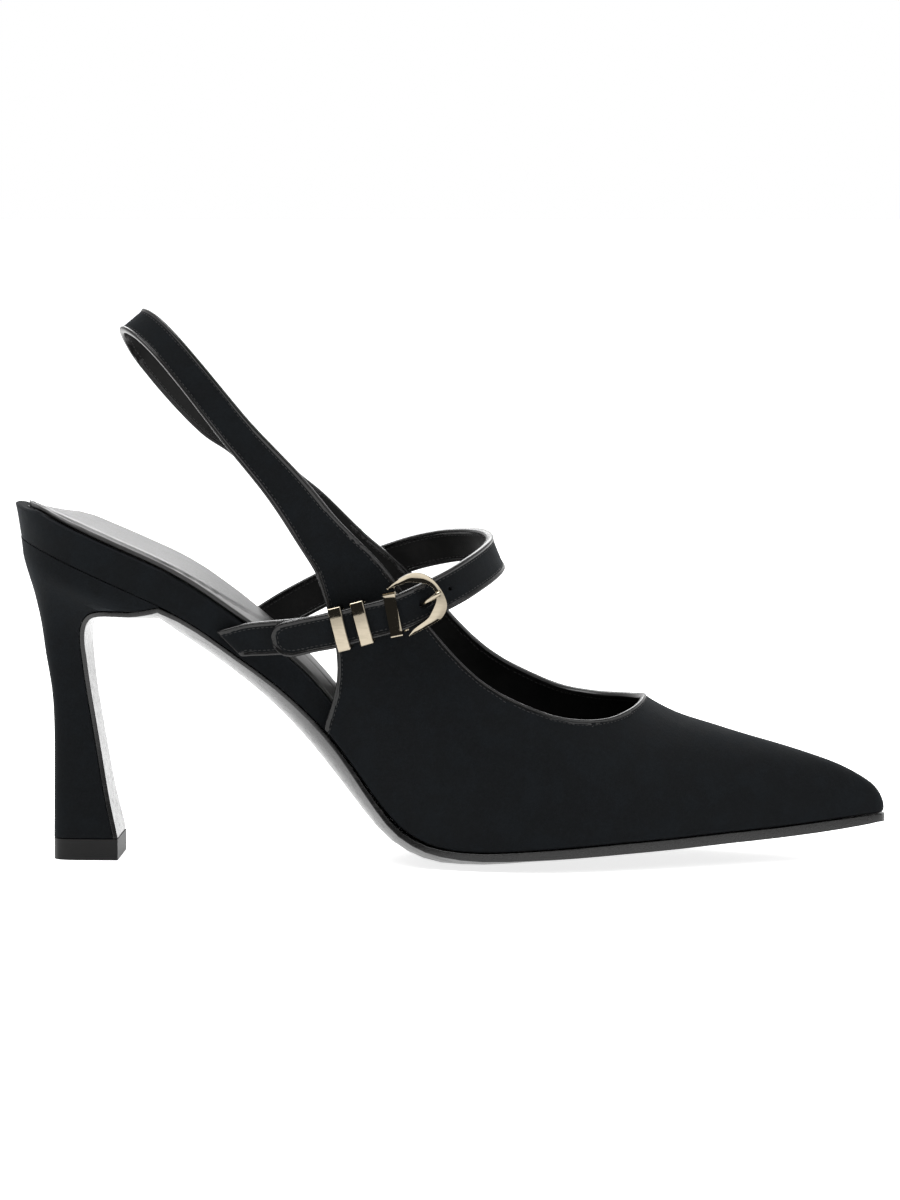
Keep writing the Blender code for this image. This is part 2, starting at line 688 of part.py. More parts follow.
def upper_columns(side):
    """Feet and tops of the upper's columns on one side, from the quarter's back to the toe."""
    name = SIDE_NAMES[side]
    columns = []
    places = band_places(root_width())
    feet = [0.0, BINDING_WIDTH, BINDING_WIDTH + BINDING_STEP, *QUARTER_FEET]
    for distance, foot in zip(places, feet):
        share = distance / places[-1]
        along = (SLING_BACK.along + (COLLAR[0].along - SLING_BACK.along) * share) * LENGTH
        rise = getattr(SLING_BACK, name) * (1 - share) + getattr(COLLAR[0], name) * share
        columns.append((QUARTER_BACK + foot, along, rise))
    start = QUARTER_BACK + feet[-1]
    count = 20
    shares = [index / count for index in range(1, count)] + list(TOE_SHARES)
    along, across = outline(side, lambda value: 0.0)
    edge = [Vector((a, b, 0.0)) for a, b in zip(along, across) if a > start]
    for share in shares:
        foot = spread(edge, lambda run: [run * share])[0].x
        top, rise = collar_point(side, share + COLLAR_LEAD * share * (1 - share))
        columns.append((foot, top, rise))
    return columns


def column_points(side, foot, top, rise, swell):
    """One column of the upper, from the feather line up to the collar or the sling."""
    end_turn = turn_of(top, rise)
    start = last_edge[side](foot)
    finish = plan_of(top, side, end_turn)
    points = [last_point(foot, side, 0.0)]
    count = 48
    for index in range(1, count + 1):
        share = (index / count) ** 2
        along = foot + (top - foot) * share
        which, turn = plan_point(along, start + (finish - start) * share)
        if index == count:
            turn = end_turn
        along += swell * math.sin(math.pi * min(turn / end_turn, 1.0))
        points.append(last_point(along, which, turn))
    return spread(points, column_distances)


def column_distances(run):
    """Distances up a column, with the collar's binding and its step at the top."""
    count = 11
    step = BINDING_WIDTH + BINDING_STEP
    low = [(run - step) * (index / count) ** ROW_CLOSENESS for index in range(count + 1)]
    return low + [run - BINDING_WIDTH, run]


def sling_rows():
    """Rows of points across the sling, from the outer quarter to the inner one."""
    columns = {name: smooth([getattr(row, name) for row in SLING], 2) for name in Sling._fields}
    rows = []
    for along, across, height, lean, width in zip(*(columns[name] for name in Sling._fields)):
        middle = place(along * LENGTH, across * BALL_WIDTH, height * HEEL_HEIGHT)
        rows.append(strap_row(middle, lean, width * SLING_WIDTH))
    return rows


def build_upper(group):
    """Vamp, quarters and sling as one bound wall."""
    outer = upper_columns(OUTER)
    inner = upper_columns(INNER)
    sides = [(OUTER, spec) for spec in outer] + [(INNER, spec) for spec in inner[-2::-1]]
    last = len(sides) - 1
    across_sling = len(band_places(1.0))
    mesh = bpy.data.meshes.new("upper")
    body = bmesh.new()
    grid = []
    for index, (side, spec) in enumerate(sides):
        near = min(index, last - index)
        swell = QUARTER_CURVE * max(0.0, 1 - near / (2 * across_sling))
        grid.append([body.verts.new(point) for point in column_points(side, *spec, swell)])
    for left, right in zip(grid, grid[1:]):
        for low in range(len(left) - 1):
            body.faces.new((left[low], right[low], right[low + 1], left[low + 1]))
    rows = [[grid[index][-1] for index in range(across_sling)]]
    rows += [[body.verts.new(point) for point in row] for row in sling_rows()]
    rows.append([grid[last - index][-1] for index in range(across_sling)])
    for low, high in zip(rows, rows[1:]):
        for index in range(across_sling - 1):
            body.faces.new((low[index], low[index + 1], high[index + 1], high[index]))
    body.verts.index_update()
    raised = set()
    for line in grid[:2] + grid[-2:]:
        raised.update(vert.index for vert in line)
    for line in grid[across_sling - 1:last - across_sling + 2]:
        raised.update(vert.index for vert in line[-2:])
    for row in rows:
        raised.update(row[index].index for index in (0, 1, -2, -1))
    bmesh.ops.recalc_face_normals(body, faces=body.faces)
    body.to_mesh(mesh)
    body.free()
    mesh.shade_smooth()
    mesh.set_sharp_from_angle(angle=math.radians(50))
    upper = new_object("upper", mesh, BLACK_SUEDE, group)
    thicken(upper, WALL, BINDING_RISE, 1.0, sorted(raised))
    return upper


# Straps

def middle_line(rows):
    """Smooth middle line of a strap with the lean of its width."""
    columns = [smooth([getattr(row, name) for row in rows], 8) for name in Turn._fields]
    line = []
    for along, across, height, lean in zip(*columns):
        line.append((place(along * LENGTH, across * BALL_WIDTH, height * HEEL_HEIGHT), lean))
    return line


def strap_frame(line, along):
    """Frame on a strap's outer run: X along it to the front, Y up its width, Z out of its face."""
    spots = [index for index, (point, lean) in enumerate(line) if point.y < 0]
    values = [line[index][0].x + HEEL_OVERHANG for index in spots]
    nearest = int(np.searchsorted(values, along))
    before, after = line[spots[nearest - 1]], line[spots[nearest]]
    part = (along - values[nearest - 1]) / (values[nearest] - values[nearest - 1])
    middle = before[0].lerp(after[0], part)
    ahead = (line[spots[nearest + 1]][0] - line[spots[nearest - 2]][0]).normalized()
    lean = math.radians(before[1] + (after[1] - before[1]) * part)
    upright = Vector((math.sin(lean), 0.0, math.cos(lean)))
    outward = ahead.cross(upright).normalized()
    upright = outward.cross(ahead).normalized()
    turned = Matrix((ahead, upright, outward)).transposed()
    return Matrix.Translation(middle) @ turned.to_4x4()


def bar_place():
    """Distance along of the buckle's bar."""
    return BUCKLE_SHARE * LENGTH


def hole_depth(line, bar):
    """How far the strap at the hole lies off the bar's plane, where the strap starts to turn."""
    on_strap = strap_frame(line, bar_place() + HOLE_PLACE * bar.col[0].x)
    return (bar.inverted() @ on_strap.translation).z


def strap_layer():
    """Distance between the middles of two straps that lie on each other."""
    return STRAP_THICKNESS + BINDING_RISE + SEAM_GAP


def rounded_width(distance):
    """Width of a strap near its rounded end."""
    half = STRAP_WIDTH / 2
    reach = min((distance + BINDING_WIDTH / 8) / half, 1.0)
    return STRAP_WIDTH * math.sqrt(1 - (1 - reach) ** 2)


def build_strap(name, line, rounded, group):
    """Bound strap along a middle line, with one rounded end when asked."""
    run = [0.0]
    for (start, _), (end, _) in zip(line, line[1:]):
        run.append(run[-1] + (end - start).length)
    count = round(run[-1] / STRAP_STEP)
    stops = list(np.linspace(0, run[-1], count + 1))
    if rounded:
        tip = [STRAP_WIDTH / 2 * (1 - math.cos(math.radians(angle))) for angle in (0, 22, 44, 66, 90)]
        stops = tip + [stop for stop in stops if stop > tip[-1] + STRAP_STEP / 3]
    mesh = bpy.data.meshes.new(name)
    body = bmesh.new()
    rows = []
    for stop in stops:
        middle = Vector([np.interp(stop, run, [point[axis] for point, lean in line]) for axis in range(3)])
        lean = np.interp(stop, run, [lean for point, lean in line])
        width = rounded_width(stop) if rounded else STRAP_WIDTH
        scale = width / STRAP_WIDTH
        row = strap_row(Vector((0, 0, 0)), lean, STRAP_WIDTH)
        rows.append([body.verts.new(middle + point * scale) for point in row])
    for low, high in zip(rows, rows[1:]):
        for index in range(len(low) - 1):
            body.faces.new((low[index], low[index + 1], high[index + 1], high[index]))
    body.verts.index_update()
    raised = {row[index].index for row in rows for index in (0, 1, -2, -1)}
    body.to_mesh(mesh)
    body.free()
    mesh.shade_smooth()
    strap = new_object(name, mesh, BLACK_SUEDE, group)
    thicken(strap, STRAP_THICKNESS, BINDING_RISE, 0.0, sorted(raised))
    return strap


def build_instep_strap(line, bar, group, cutters):
    """Long strap over the instep, with the hole that the prong goes through."""
    strap = build_strap("instep_strap", line, True, group)
    mesh = bpy.data.meshes.new("prong_hole")
    body = bmesh.new()
    depth = 4 * STRAP_THICKNESS
    bmesh.ops.create_cone(body, cap_ends=True, segments=12, radius1=HOLE_RADIUS, radius2=HOLE_RADIUS,
                          depth=depth)
    body.to_mesh(mesh)
    body.free()
    cutter = bpy.data.objects.new("prong_hole", mesh)
    cutter.matrix_world = bar @ Matrix.Translation((HOLE_PLACE, 0.0, hole_depth(line, bar)))
    cutter.hide_render = True
    cutter.display_type = "WIRE"
    cutters.objects.link(cutter)
    hole = strap.modifiers.new("prong_hole", "BOOLEAN")
    hole.operation = "DIFFERENCE"
    hole.solver = "EXACT"
    hole.object = cutter
    return strap


def build_buckle_strap(long_line, group):
    """Short strap from the waist to the bar, under the long one."""
    rows = list(BUCKLE_STRAP_ROOT)
    for share in UNDER_STRAP:
        frame = strap_frame(long_line, share * LENGTH)
        middle = frame @ Vector((0.0, 0.0, -strap_layer()))
        lean = math.degrees(math.atan2(frame.col[1].x, frame.col[1].z))
        rows.append(Turn((middle.x + HEEL_OVERHANG) / LENGTH, middle.y / BALL_WIDTH,
                         middle.z / HEEL_HEIGHT, lean))
    return build_strap("buckle_strap", middle_line(rows), False, group)


# Buckle and keepers

def rod(name, points, radii, cyclic, finish, group):
    """Round rod through points, with a radius at each."""
    curve = bpy.data.curves.new(name, "CURVE")
    curve.dimensions = "3D"
    curve.bevel_depth = 1.0
    curve.bevel_resolution = 1
    curve.use_fill_caps = True
    line = curve.splines.new("POLY")
    line.points.add(len(points) - 1)
    for point, spot, radius in zip(line.points, points, radii):
        point.co = (*spot, 1.0)
        point.radius = radius
    line.use_cyclic_u = cyclic
    return new_object(name, curve, finish, group)


def strap_half():
    """Half of a bound strap's full thickness."""
    return (STRAP_THICKNESS + BINDING_RISE) / 2


def build_buckle_frame(bar, group):
    """Closed frame: bar under the strap, arms past its edges, broader end over it."""
    low = -strap_half() - SEAM_GAP - BAR_ROD
    high = strap_half() + SEAM_GAP + FRAME_ROD
    points = []
    radii = []
    count = 18
    for index in range(count + 1):
        angle = math.pi * (index / count - 0.5)
        share = max(math.cos(angle), 0.0) ** FRAME_SQUARENESS
        up = FRAME_HEIGHT / 2 * math.copysign(abs(math.sin(angle)) ** FRAME_SQUARENESS, angle)
        points.append((FRAME_LENGTH * share, up, low + (high - low) * share ** 2))
        radii.append(BAR_ROD + (FRAME_ROD - BAR_ROD) * share ** 2)
    frame = rod("buckle_frame", points, radii, True, PALE_GOLD, group)
    frame.matrix_world = bar
    return frame


def build_prong(line, bar, group):
    """Prong from beside the bar, up through the strap's hole, onto the frame's end."""
    clear = SEAM_GAP + PRONG_ROD
    low = -strap_half() - clear
    high = strap_half() + SEAM_GAP + 2 * FRAME_ROD + clear
    depth = hole_depth(line, bar)
    path = [
        (BAR_ROD + clear, low),
        (HOLE_PLACE - PRONG_ROD, low + depth),
        (HOLE_PLACE, depth),
        (HOLE_PLACE + PRONG_ROD / 2, depth - low),
        (FRAME_LENGTH - FRAME_ROD, high),
        (FRAME_LENGTH + PRONG_ROD, high),
    ]
    points = [(reach, PRONG_SWING * (reach - HOLE_PLACE), out) for reach, out in path]
    prong = rod("buckle_prong", points, [PRONG_ROD] * len(path), False, PALE_GOLD, group)
    prong.matrix_world = bar
    return prong


def build_keeper(name, line, along, width, group):
    """Sheet metal loop round both straps."""
    half = STRAP_WIDTH / 2 + 2 * SEAM_GAP
    layer = strap_half()
    inside = (-strap_layer() - layer - SEAM_GAP, layer + SEAM_GAP)
    flat = bpy.data.curves.new(name, "CURVE")
    flat.dimensions = "2D"
    flat.fill_mode = "BOTH"
    flat.extrude = width / 2
    for grow in (KEEPER_SHEET, 0.0):
        loop = flat.splines.new("POLY")
        loop.points.add(3)
        near, far = inside[0] - grow, inside[1] + grow
        reach = half + grow
        corners = [(near, -reach), (far, -reach), (far, reach), (near, reach)]
        for point, corner in zip(loop.points, corners):
            point.co = (*corner, 0.0, 1.0)
        loop.use_cyclic_u = True
    keeper = new_object(name, flat, PALE_GOLD, group)
    keeper.matrix_world = strap_frame(line, along) @ Matrix.Rotation(math.pi / 2, 4, "Y") @ Matrix.Rotation(
        math.pi, 4, "Z")
    return keeper


def main():
    """Build the shoe."""
    clear_scene()
    shoe = new_collection("slingback_pump")
    cutters = new_collection("cutters")
    build_outsole(shoe)
    build_heel(shoe)
    build_heel_tip(shoe)
    build_board(shoe)
    build_sock(shoe)
    build_upper(shoe)
    line = middle_line(INSTEP_STRAP)
    bar = strap_frame(line, bar_place())
    build_instep_strap(line, bar, shoe, cutters)
    build_buckle_strap(line, shoe)
    build_buckle_frame(bar, shoe)
    build_prong(line, bar, shoe)
    for name, space in zip(("keeper_rear", "keeper_front"), KEEPER_SPACES):
        build_keeper(name, line, bar_place() - space, KEEPER_WIDTH, shoe)
    build_keeper("buckle_keeper", line, bar_place() - BUCKLE_KEEPER_SPACE, BUCKLE_KEEPER_WIDTH, shoe)


main()
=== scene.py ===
"""Looks of a black suede slingback pump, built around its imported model.

Lengths are in metres with +Z up, +X to the toe and -Y to the outer side. Each soft piece starts from
a copy of its solid, is made smooth, and gets its binding, stitches, seams and finish.
"""
import json
import logging
import math
from dataclasses import dataclass, field
from enum import Enum
from typing import Any, Callable, Sequence, Union

import bmesh
import bpy
import numpy as np
from mathutils import Matrix, Vector
from mathutils.bvhtree import BVHTree
from mathutils.kdtree import KDTree

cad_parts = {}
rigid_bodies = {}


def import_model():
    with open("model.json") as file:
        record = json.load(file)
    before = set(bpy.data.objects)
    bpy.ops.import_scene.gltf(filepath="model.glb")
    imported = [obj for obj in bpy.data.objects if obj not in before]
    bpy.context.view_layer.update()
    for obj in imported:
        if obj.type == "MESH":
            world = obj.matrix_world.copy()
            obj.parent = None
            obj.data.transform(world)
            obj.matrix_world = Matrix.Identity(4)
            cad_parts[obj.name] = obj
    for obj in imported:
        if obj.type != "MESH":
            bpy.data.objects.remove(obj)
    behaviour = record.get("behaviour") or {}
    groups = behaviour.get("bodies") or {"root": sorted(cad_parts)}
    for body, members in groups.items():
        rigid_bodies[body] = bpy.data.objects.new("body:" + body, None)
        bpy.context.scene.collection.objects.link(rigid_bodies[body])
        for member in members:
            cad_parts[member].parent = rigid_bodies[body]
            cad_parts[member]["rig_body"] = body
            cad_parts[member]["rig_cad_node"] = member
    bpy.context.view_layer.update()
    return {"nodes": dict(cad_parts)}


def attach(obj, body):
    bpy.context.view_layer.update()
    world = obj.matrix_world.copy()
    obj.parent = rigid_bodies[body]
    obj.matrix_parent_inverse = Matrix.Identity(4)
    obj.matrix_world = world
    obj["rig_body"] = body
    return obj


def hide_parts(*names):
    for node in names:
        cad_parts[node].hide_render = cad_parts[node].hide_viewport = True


BODY = "root"
WELD = 0.000005                    # corners closer than this are one
RIM_ANGLE = math.radians(55)       # a sharper edge is the rim of a wall
BINDING_SHARES = (0.58, 0.85)      # of the solid's binding and of the step beside it
ROW_REACH = 0.0024                 # widest row that still belongs to the binding
BINDING_WIDTH = 0.00125            # leather seen beside a rim
PARALLEL = 0.99                    # cosine past which an edge runs along a direction
FACING = 0.999                     # cosine past which a face looks the same way
SAME_PLANE = 0.0001                # faces closer than this to a plane lie in it

log = logging.getLogger("slingback")

Operand = Union["Socket", float]


class Region(Enum):
    """Material slot of each part of a bound piece."""

    SUEDE = 0
    LINING = 1
    BINDING = 2
    FOOT = 3


# Shader helpers


class Socket:
    """A number in a shader that Python's operators combine."""

    def __init__(self, sheet: "Sheet", link: bpy.types.NodeSocket) -> None:
        """Wrap an output socket of the sheet."""
        self.sheet = sheet
        self.link = link

    def _math(self, operation: str, first: Operand, second: Operand) -> "Socket":
        """The result of one Math node on two values."""
        node = self.sheet.add("ShaderNodeMath", {"operation": operation}, {0: first, 1: second})
        return Socket(self.sheet, node.outputs[0])

    def __add__(self, other: Operand) -> "Socket":
        """Sum."""
        return self._math("ADD", self, other)

    def __radd__(self, other: float) -> "Socket":
        """Sum with a number in front."""
        return self._math("ADD", other, self)

    def __sub__(self, other: Operand) -> "Socket":
        """Difference."""
        return self._math("SUBTRACT", self, other)

    def __rsub__(self, other: float) -> "Socket":
        """Difference from a number."""
        return self._math("SUBTRACT", other, self)

    def __mul__(self, other: Operand) -> "Socket":
        """Product."""
        return self._math("MULTIPLY", self, other)

    def __rmul__(self, other: float) -> "Socket":
        """Product with a number in front."""
        return self._math("MULTIPLY", other, self)

    def eased(self, low: float, high: float) -> "Socket":
        """Rise smoothly from 0 at low to 1 at high.

        Args:
            low: Value that gives 0.
            high: Value that gives 1.

        Returns:
            The eased value.
        """
        node = self.sheet.add("ShaderNodeMapRange", {"interpolation_type": "SMOOTHSTEP"},
                              {"Value": self, "From Min": low, "From Max": high})
        return Socket(self.sheet, node.outputs["Result"])


class Sheet:
    """The nodes of one material or of the world."""

    def __init__(self, tree: bpy.types.NodeTree) -> None:
        """Start with an empty node tree.

        Args:
            tree: The node tree to fill.
        """
        self.tree = tree
        self.tree.nodes.clear()
        self._place: bpy.types.NodeSocket | None = None

    def add(self, kind: str, settings: dict[str, Any] | None = None,
            inputs: dict[Any, Any] | None = None) -> bpy.types.Node:
        """Add a node.

        Args:
            kind: Blender's type name of the node.
            settings: The node's own properties, set first.
            inputs: Values or links of its sockets, by name or number.

        Returns:
            The new node.
        """
        node = self.tree.nodes.new(kind)
        for name, value in (settings or {}).items():
            setattr(node, name, value)
        for name, value in (inputs or {}).items():
            if isinstance(value, Socket):
                value = value.link
            if isinstance(value, bpy.types.NodeSocket):
                self.tree.links.new(value, node.inputs[name])
            else:
                node.inputs[name].default_value = value
        return node

    def place(self) -> bpy.types.NodeSocket:
        """Object coordinates, asked for once.

        Returns:
            The socket that gives them, in metres.
        """
        if self._place is None:
            self._place = self.add("ShaderNodeTexCoord").outputs["Object"]
        return self._place

    def noise(self, size: float, detail: float = 2.0, stretch: Sequence[float] = (1, 1, 1)) -> Socket:
        """Cloudy variation.

        Args:
            size: Width of one patch in metres.
            detail: Layers of finer variation.
            stretch: How much finer it is along each axis.

        Returns:
            Values from 0 to 1, mostly near 0.5.
        """
        turned = self.add("ShaderNodeMapping", None, {"Vector": self.place(), "Scale": tuple(stretch)})
        node = self.add("ShaderNodeTexNoise", None, {
            "Vector": turned.outputs[0], "Scale": 1 / size, "Detail": detail, "Roughness": 0.6})
        return Socket(self, node.outputs[0])

    def cells(self, size: float) -> Socket:
        """Distance to the nearest of many scattered points, as in fine leather grain.

        Args:
            size: Spacing of the points in metres.

        Returns:
            Values from 0 at the points.
        """
        node = self.add("ShaderNodeTexVoronoi", {"feature": "SMOOTH_F1"}, {
            "Vector": self.place(), "Scale": 1 / size, "Smoothness": 0.4})
        return Socket(self, node.outputs["Distance"])

    def blend(self, share: Operand, first: Any, second: Any) -> bpy.types.NodeSocket:
        """Two colours or links, mixed by the share of the second one."""
        node = self.add("ShaderNodeMix", {"data_type": "RGBA"}, {0: share, 6: first, 7: second})
        return node.outputs[2]

    def bump(self, height: Socket, depth: float, strength: float = 1.0) -> bpy.types.NodeSocket:
        """The normal of a relief, from a height between 0 and 1 and its depth in metres."""
        node = self.add("ShaderNodeBump", None, {"Height": height, "Distance": depth, "Strength": strength})
        return node.outputs[0]

    def feed(self, shader: bpy.types.Node, **values: Any) -> None:
        """Link values into a shader.

        Args:
            shader: The shader to feed.
            values: Links by the name of the shader's socket, with _ for a space.
        """
        for name, value in values.items():
            link = value.link if isinstance(value, Socket) else value
            self.tree.links.new(link, shader.inputs[name.replace("_", " ")])


def dressed_sheet(name: str, **constants: Any) -> tuple[bpy.types.Material, Sheet, bpy.types.Node]:
    """A material with one shader whose plain sockets are set.

    Args:
        name: The material's name.
        constants: Values of the shader's sockets, with _ for a space.

    Returns:
        The material, its sheet and its shader.
    """
    material = bpy.data.materials.new(name)
    material.use_nodes = True
    sheet = Sheet(material.node_tree)
    values = {key.replace("_", " "): value for key, value in constants.items()}
    shader = sheet.add("ShaderNodeBsdfPrincipled", None, values)
    sheet.add("ShaderNodeOutputMaterial", None, {"Surface": shader.outputs[0]})
    return material, sheet, shader


def grey(value: float, warmth: float = 0.0) -> tuple[float, float, float, float]:
    """A near-grey colour, warmer above zero and cooler below."""
    return (value * (1 + warmth), value, value * (1 - warmth), 1.0)


# Finishes


@dataclass(frozen=True)
class Suede:
    """Short matte nap that catches light where it is brushed up."""

    name: str
    dark: float = 0.0029
    brushed: float = 0.0072
    patch: float = 0.0065
    fibre: float = 0.00032
    relief: float = 0.00011
    sheen: float = 0.055
    coolness: float = -0.20

    def make(self) -> bpy.types.Material:
        """Build the material.

        Returns:
            The finish, ready for a piece.
        """
        material, sheet, shader = dressed_sheet(
            self.name, Specular_IOR_Level=0.12, Sheen_Weight=self.sheen, Sheen_Roughness=0.45,
            Sheen_Tint=grey(0.55, -0.10))
        patches = sheet.noise(self.patch, 3.0).eased(0.40, 0.66)
        fibres = sheet.noise(self.fibre, 3.0)
        tufts = sheet.noise(self.fibre * 3.2, 2.0)
        nap = patches * 0.22 + fibres * 0.55 + tufts * 0.30
        colour = sheet.blend(nap.eased(0.25, 0.85), grey(self.dark, self.coolness),
                             grey(self.brushed, self.coolness))
        pile = fibres * 0.7 + tufts * 0.5 + patches * 0.4
        sheet.feed(shader, Base_Color=colour, Roughness=0.86 + patches * 0.10,
                   Normal=sheet.bump(pile, self.relief, 0.75))
        return material


@dataclass(frozen=True)
class Leather:
    """Smooth black leather with a fine grain."""

    name: str
    shade: float = 0.010
    roughness: float = 0.34
    grain: float = 0.00055
    relief: float = 0.00005
    wear: float = 0.05
    shine: float = 0.5

    def make(self) -> bpy.types.Material:
        """Build the material.

        Returns:
            The finish, ready for a piece.
        """
        material, sheet, shader = dressed_sheet(self.name, Specular_IOR_Level=self.shine)
        grain = sheet.cells(self.grain)
        fine = sheet.noise(self.grain * 0.4, 2.0)
        clouds = sheet.noise(0.012, 3.0)
        colour = sheet.blend(clouds.eased(0.3, 0.75), grey(self.shade), grey(self.shade * 1.7, 0.02))
        rough = self.roughness - self.wear + clouds * (2 * self.wear) + grain * 0.06
        sheet.feed(shader, Base_Color=colour, Roughness=rough,
                   Normal=sheet.bump(grain * 0.8 + fine * 0.3, self.relief, 0.6))
        return material


@dataclass(frozen=True)
class SoleLeather:
    """Lightly polished black sole with faint long scuffs."""

    name: str
    shade: float = 0.010
    roughness: float = 0.20

    def make(self) -> bpy.types.Material:
        """Build the material.

        Returns:
            The finish, ready for a piece.
        """
        material, sheet, shader = dressed_sheet(self.name, Specular_IOR_Level=0.37)
        scuffs = sheet.noise(0.0016, 3.0, (0.12, 1.0, 1.0)).eased(0.45, 0.75)
        clouds = sheet.noise(0.015, 2.0)
        colour = sheet.blend(scuffs * 0.5, grey(self.shade), grey(self.shade * 2.2, 0.03))
        sheet.feed(shader, Base_Color=colour, Roughness=self.roughness + scuffs * 0.10 + clouds * 0.08,
                   Normal=sheet.bump(scuffs + sheet.noise(0.0005, 2.0) * 0.5, 0.00003, 0.4))
        return material


@dataclass(frozen=True)
class TipPlastic:
    """Satin black plastic of the heel tip."""

    name: str
    shade: float = 0.006
    roughness: float = 0.42

    def make(self) -> bpy.types.Material:
        """Build the material.

        Returns:
            The finish, ready for a piece.
        """
        material, sheet, shader = dressed_sheet(self.name, Specular_IOR_Level=0.2)
        specks = sheet.noise(0.0004, 3.0)
        colour = sheet.blend(specks, grey(self.shade), grey(self.shade * 1.3))
        sheet.feed(shader, Base_Color=colour, Roughness=self.roughness + specks * 0.12,
                   Normal=sheet.bump(specks, 0.00004, 0.35))
        return material


@dataclass(frozen=True)
class PolishedMetal:
    """Polished pale gold plating with hairline marks."""

    name: str
    colour: tuple[float, float, float, float] = (0.365, 0.320, 0.245, 1.0)
    roughness: float = 0.03

    def make(self) -> bpy.types.Material:
        """Build the material.

        Returns:
            The finish, ready for a piece.
        """
        material, sheet, shader = dressed_sheet(self.name, Metallic=1.0)
        hairs = sheet.noise(0.0007, 3.0, (0.2, 1.0, 1.0))
        deeper = tuple(value * 0.86 for value in self.colour[:3]) + (1.0,)
        colour = sheet.blend(hairs.eased(0.35, 0.8), self.colour, deeper)
        sheet.feed(shader, Base_Color=colour, Roughness=self.roughness + hairs * 0.03,
                   Normal=sheet.bump(hairs, 0.00001, 0.25))
        return material


@dataclass(frozen=True)
class Thread:
    """Waxed black sewing thread, twisted."""

    name: str
    shade: float = 0.010

    def make(self) -> bpy.types.Material:
        """Build the material.

        Returns:
            The finish, ready for a piece.
        """
        material, sheet, shader = dressed_sheet(self.name, Specular_IOR_Level=0.35)
        twist = sheet.noise(0.00018, 1.0)
        colour = sheet.blend(twist, grey(self.shade), grey(self.shade * 1.8))
        sheet.feed(shader, Base_Color=colour, Roughness=0.45 + twist * 0.2,
                   Normal=sheet.bump(twist, 0.00005, 0.6))
        return material


# Modelling helpers


def pick(*things: bpy.types.Object) -> None:
    """Select these objects alone.

    Args:
        things: The objects, of which the first becomes active.
    """
    bpy.ops.object.select_all(action="DESELECT")
    for thing in things:
        thing.select_set(True)
    bpy.context.view_layer.objects.active = things[0]


def corners(mesh: bpy.types.Mesh) -> np.ndarray:
    """Read where a mesh's vertices are.

    Args:
        mesh: The mesh to read.

    Returns:
        Their places, one row each.
    """
    places = np.empty(len(mesh.vertices) * 3)
    mesh.vertices.foreach_get("co", places)
    return places.reshape(-1, 3)


def move_corners(mesh: bpy.types.Mesh, places: np.ndarray) -> None:
    """Put a mesh's vertices at new places."""
    mesh.vertices.foreach_set("co", places.ravel())
    mesh.update()


def new_grid(name: str, columns: int, rows: int) -> bpy.types.Object:
    """Add a flat grid from -1 to 1 both ways, to be laid into its shape.

    Args:
        name: Name of the new piece.
        columns: Faces along it.
        rows: Faces across it.

    Returns:
        The new piece.
    """
    bpy.ops.object.select_all(action="DESELECT")
    bpy.ops.mesh.primitive_grid_add(x_subdivisions=columns, y_subdivisions=rows, size=2.0)
    piece = bpy.context.active_object
    piece.name = name
    piece.data.name = name
    return piece


def taken_from(node: bpy.types.Object, name: str) -> bpy.types.Object:
    """Copy a solid as a connected mesh of quads.

    Args:
        node: The solid's object.
        name: Name of the new piece.

    Returns:
        The new piece.
    """
    pick(node)
    bpy.ops.object.duplicate(linked=False)
    piece = bpy.context.active_object
    bpy.ops.object.parent_clear(type="CLEAR_KEEP_TRANSFORM")
    piece.name = name
    piece.data.name = name
    piece.data.materials.clear()
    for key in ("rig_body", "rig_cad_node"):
        if key in piece:
            del piece[key]
    bpy.ops.object.mode_set(mode="EDIT")
    bpy.ops.mesh.select_all(action="SELECT")
    bpy.ops.mesh.remove_doubles(threshold=WELD)
    bpy.ops.mesh.tris_convert_to_quads(face_threshold=math.radians(40), shape_threshold=math.radians(50))
    bpy.ops.object.mode_set(mode="OBJECT")
    if piece.data.has_custom_normals:
        bpy.ops.mesh.customdata_custom_splitnormals_clear()
    bpy.ops.object.shade_smooth()
    return piece


def apply_modifier(piece: bpy.types.Object, kind: str, **settings: Any) -> None:
    """Add one modifier and apply it.

    Args:
        piece: The piece to change.
        kind: Blender's name of the modifier.
        settings: Its properties.
    """
    modifier = piece.modifiers.new(kind.lower(), kind)
    for name, value in settings.items():
        setattr(modifier, name, value)
    pick(piece)
    bpy.ops.object.modifier_apply(modifier=modifier.name)


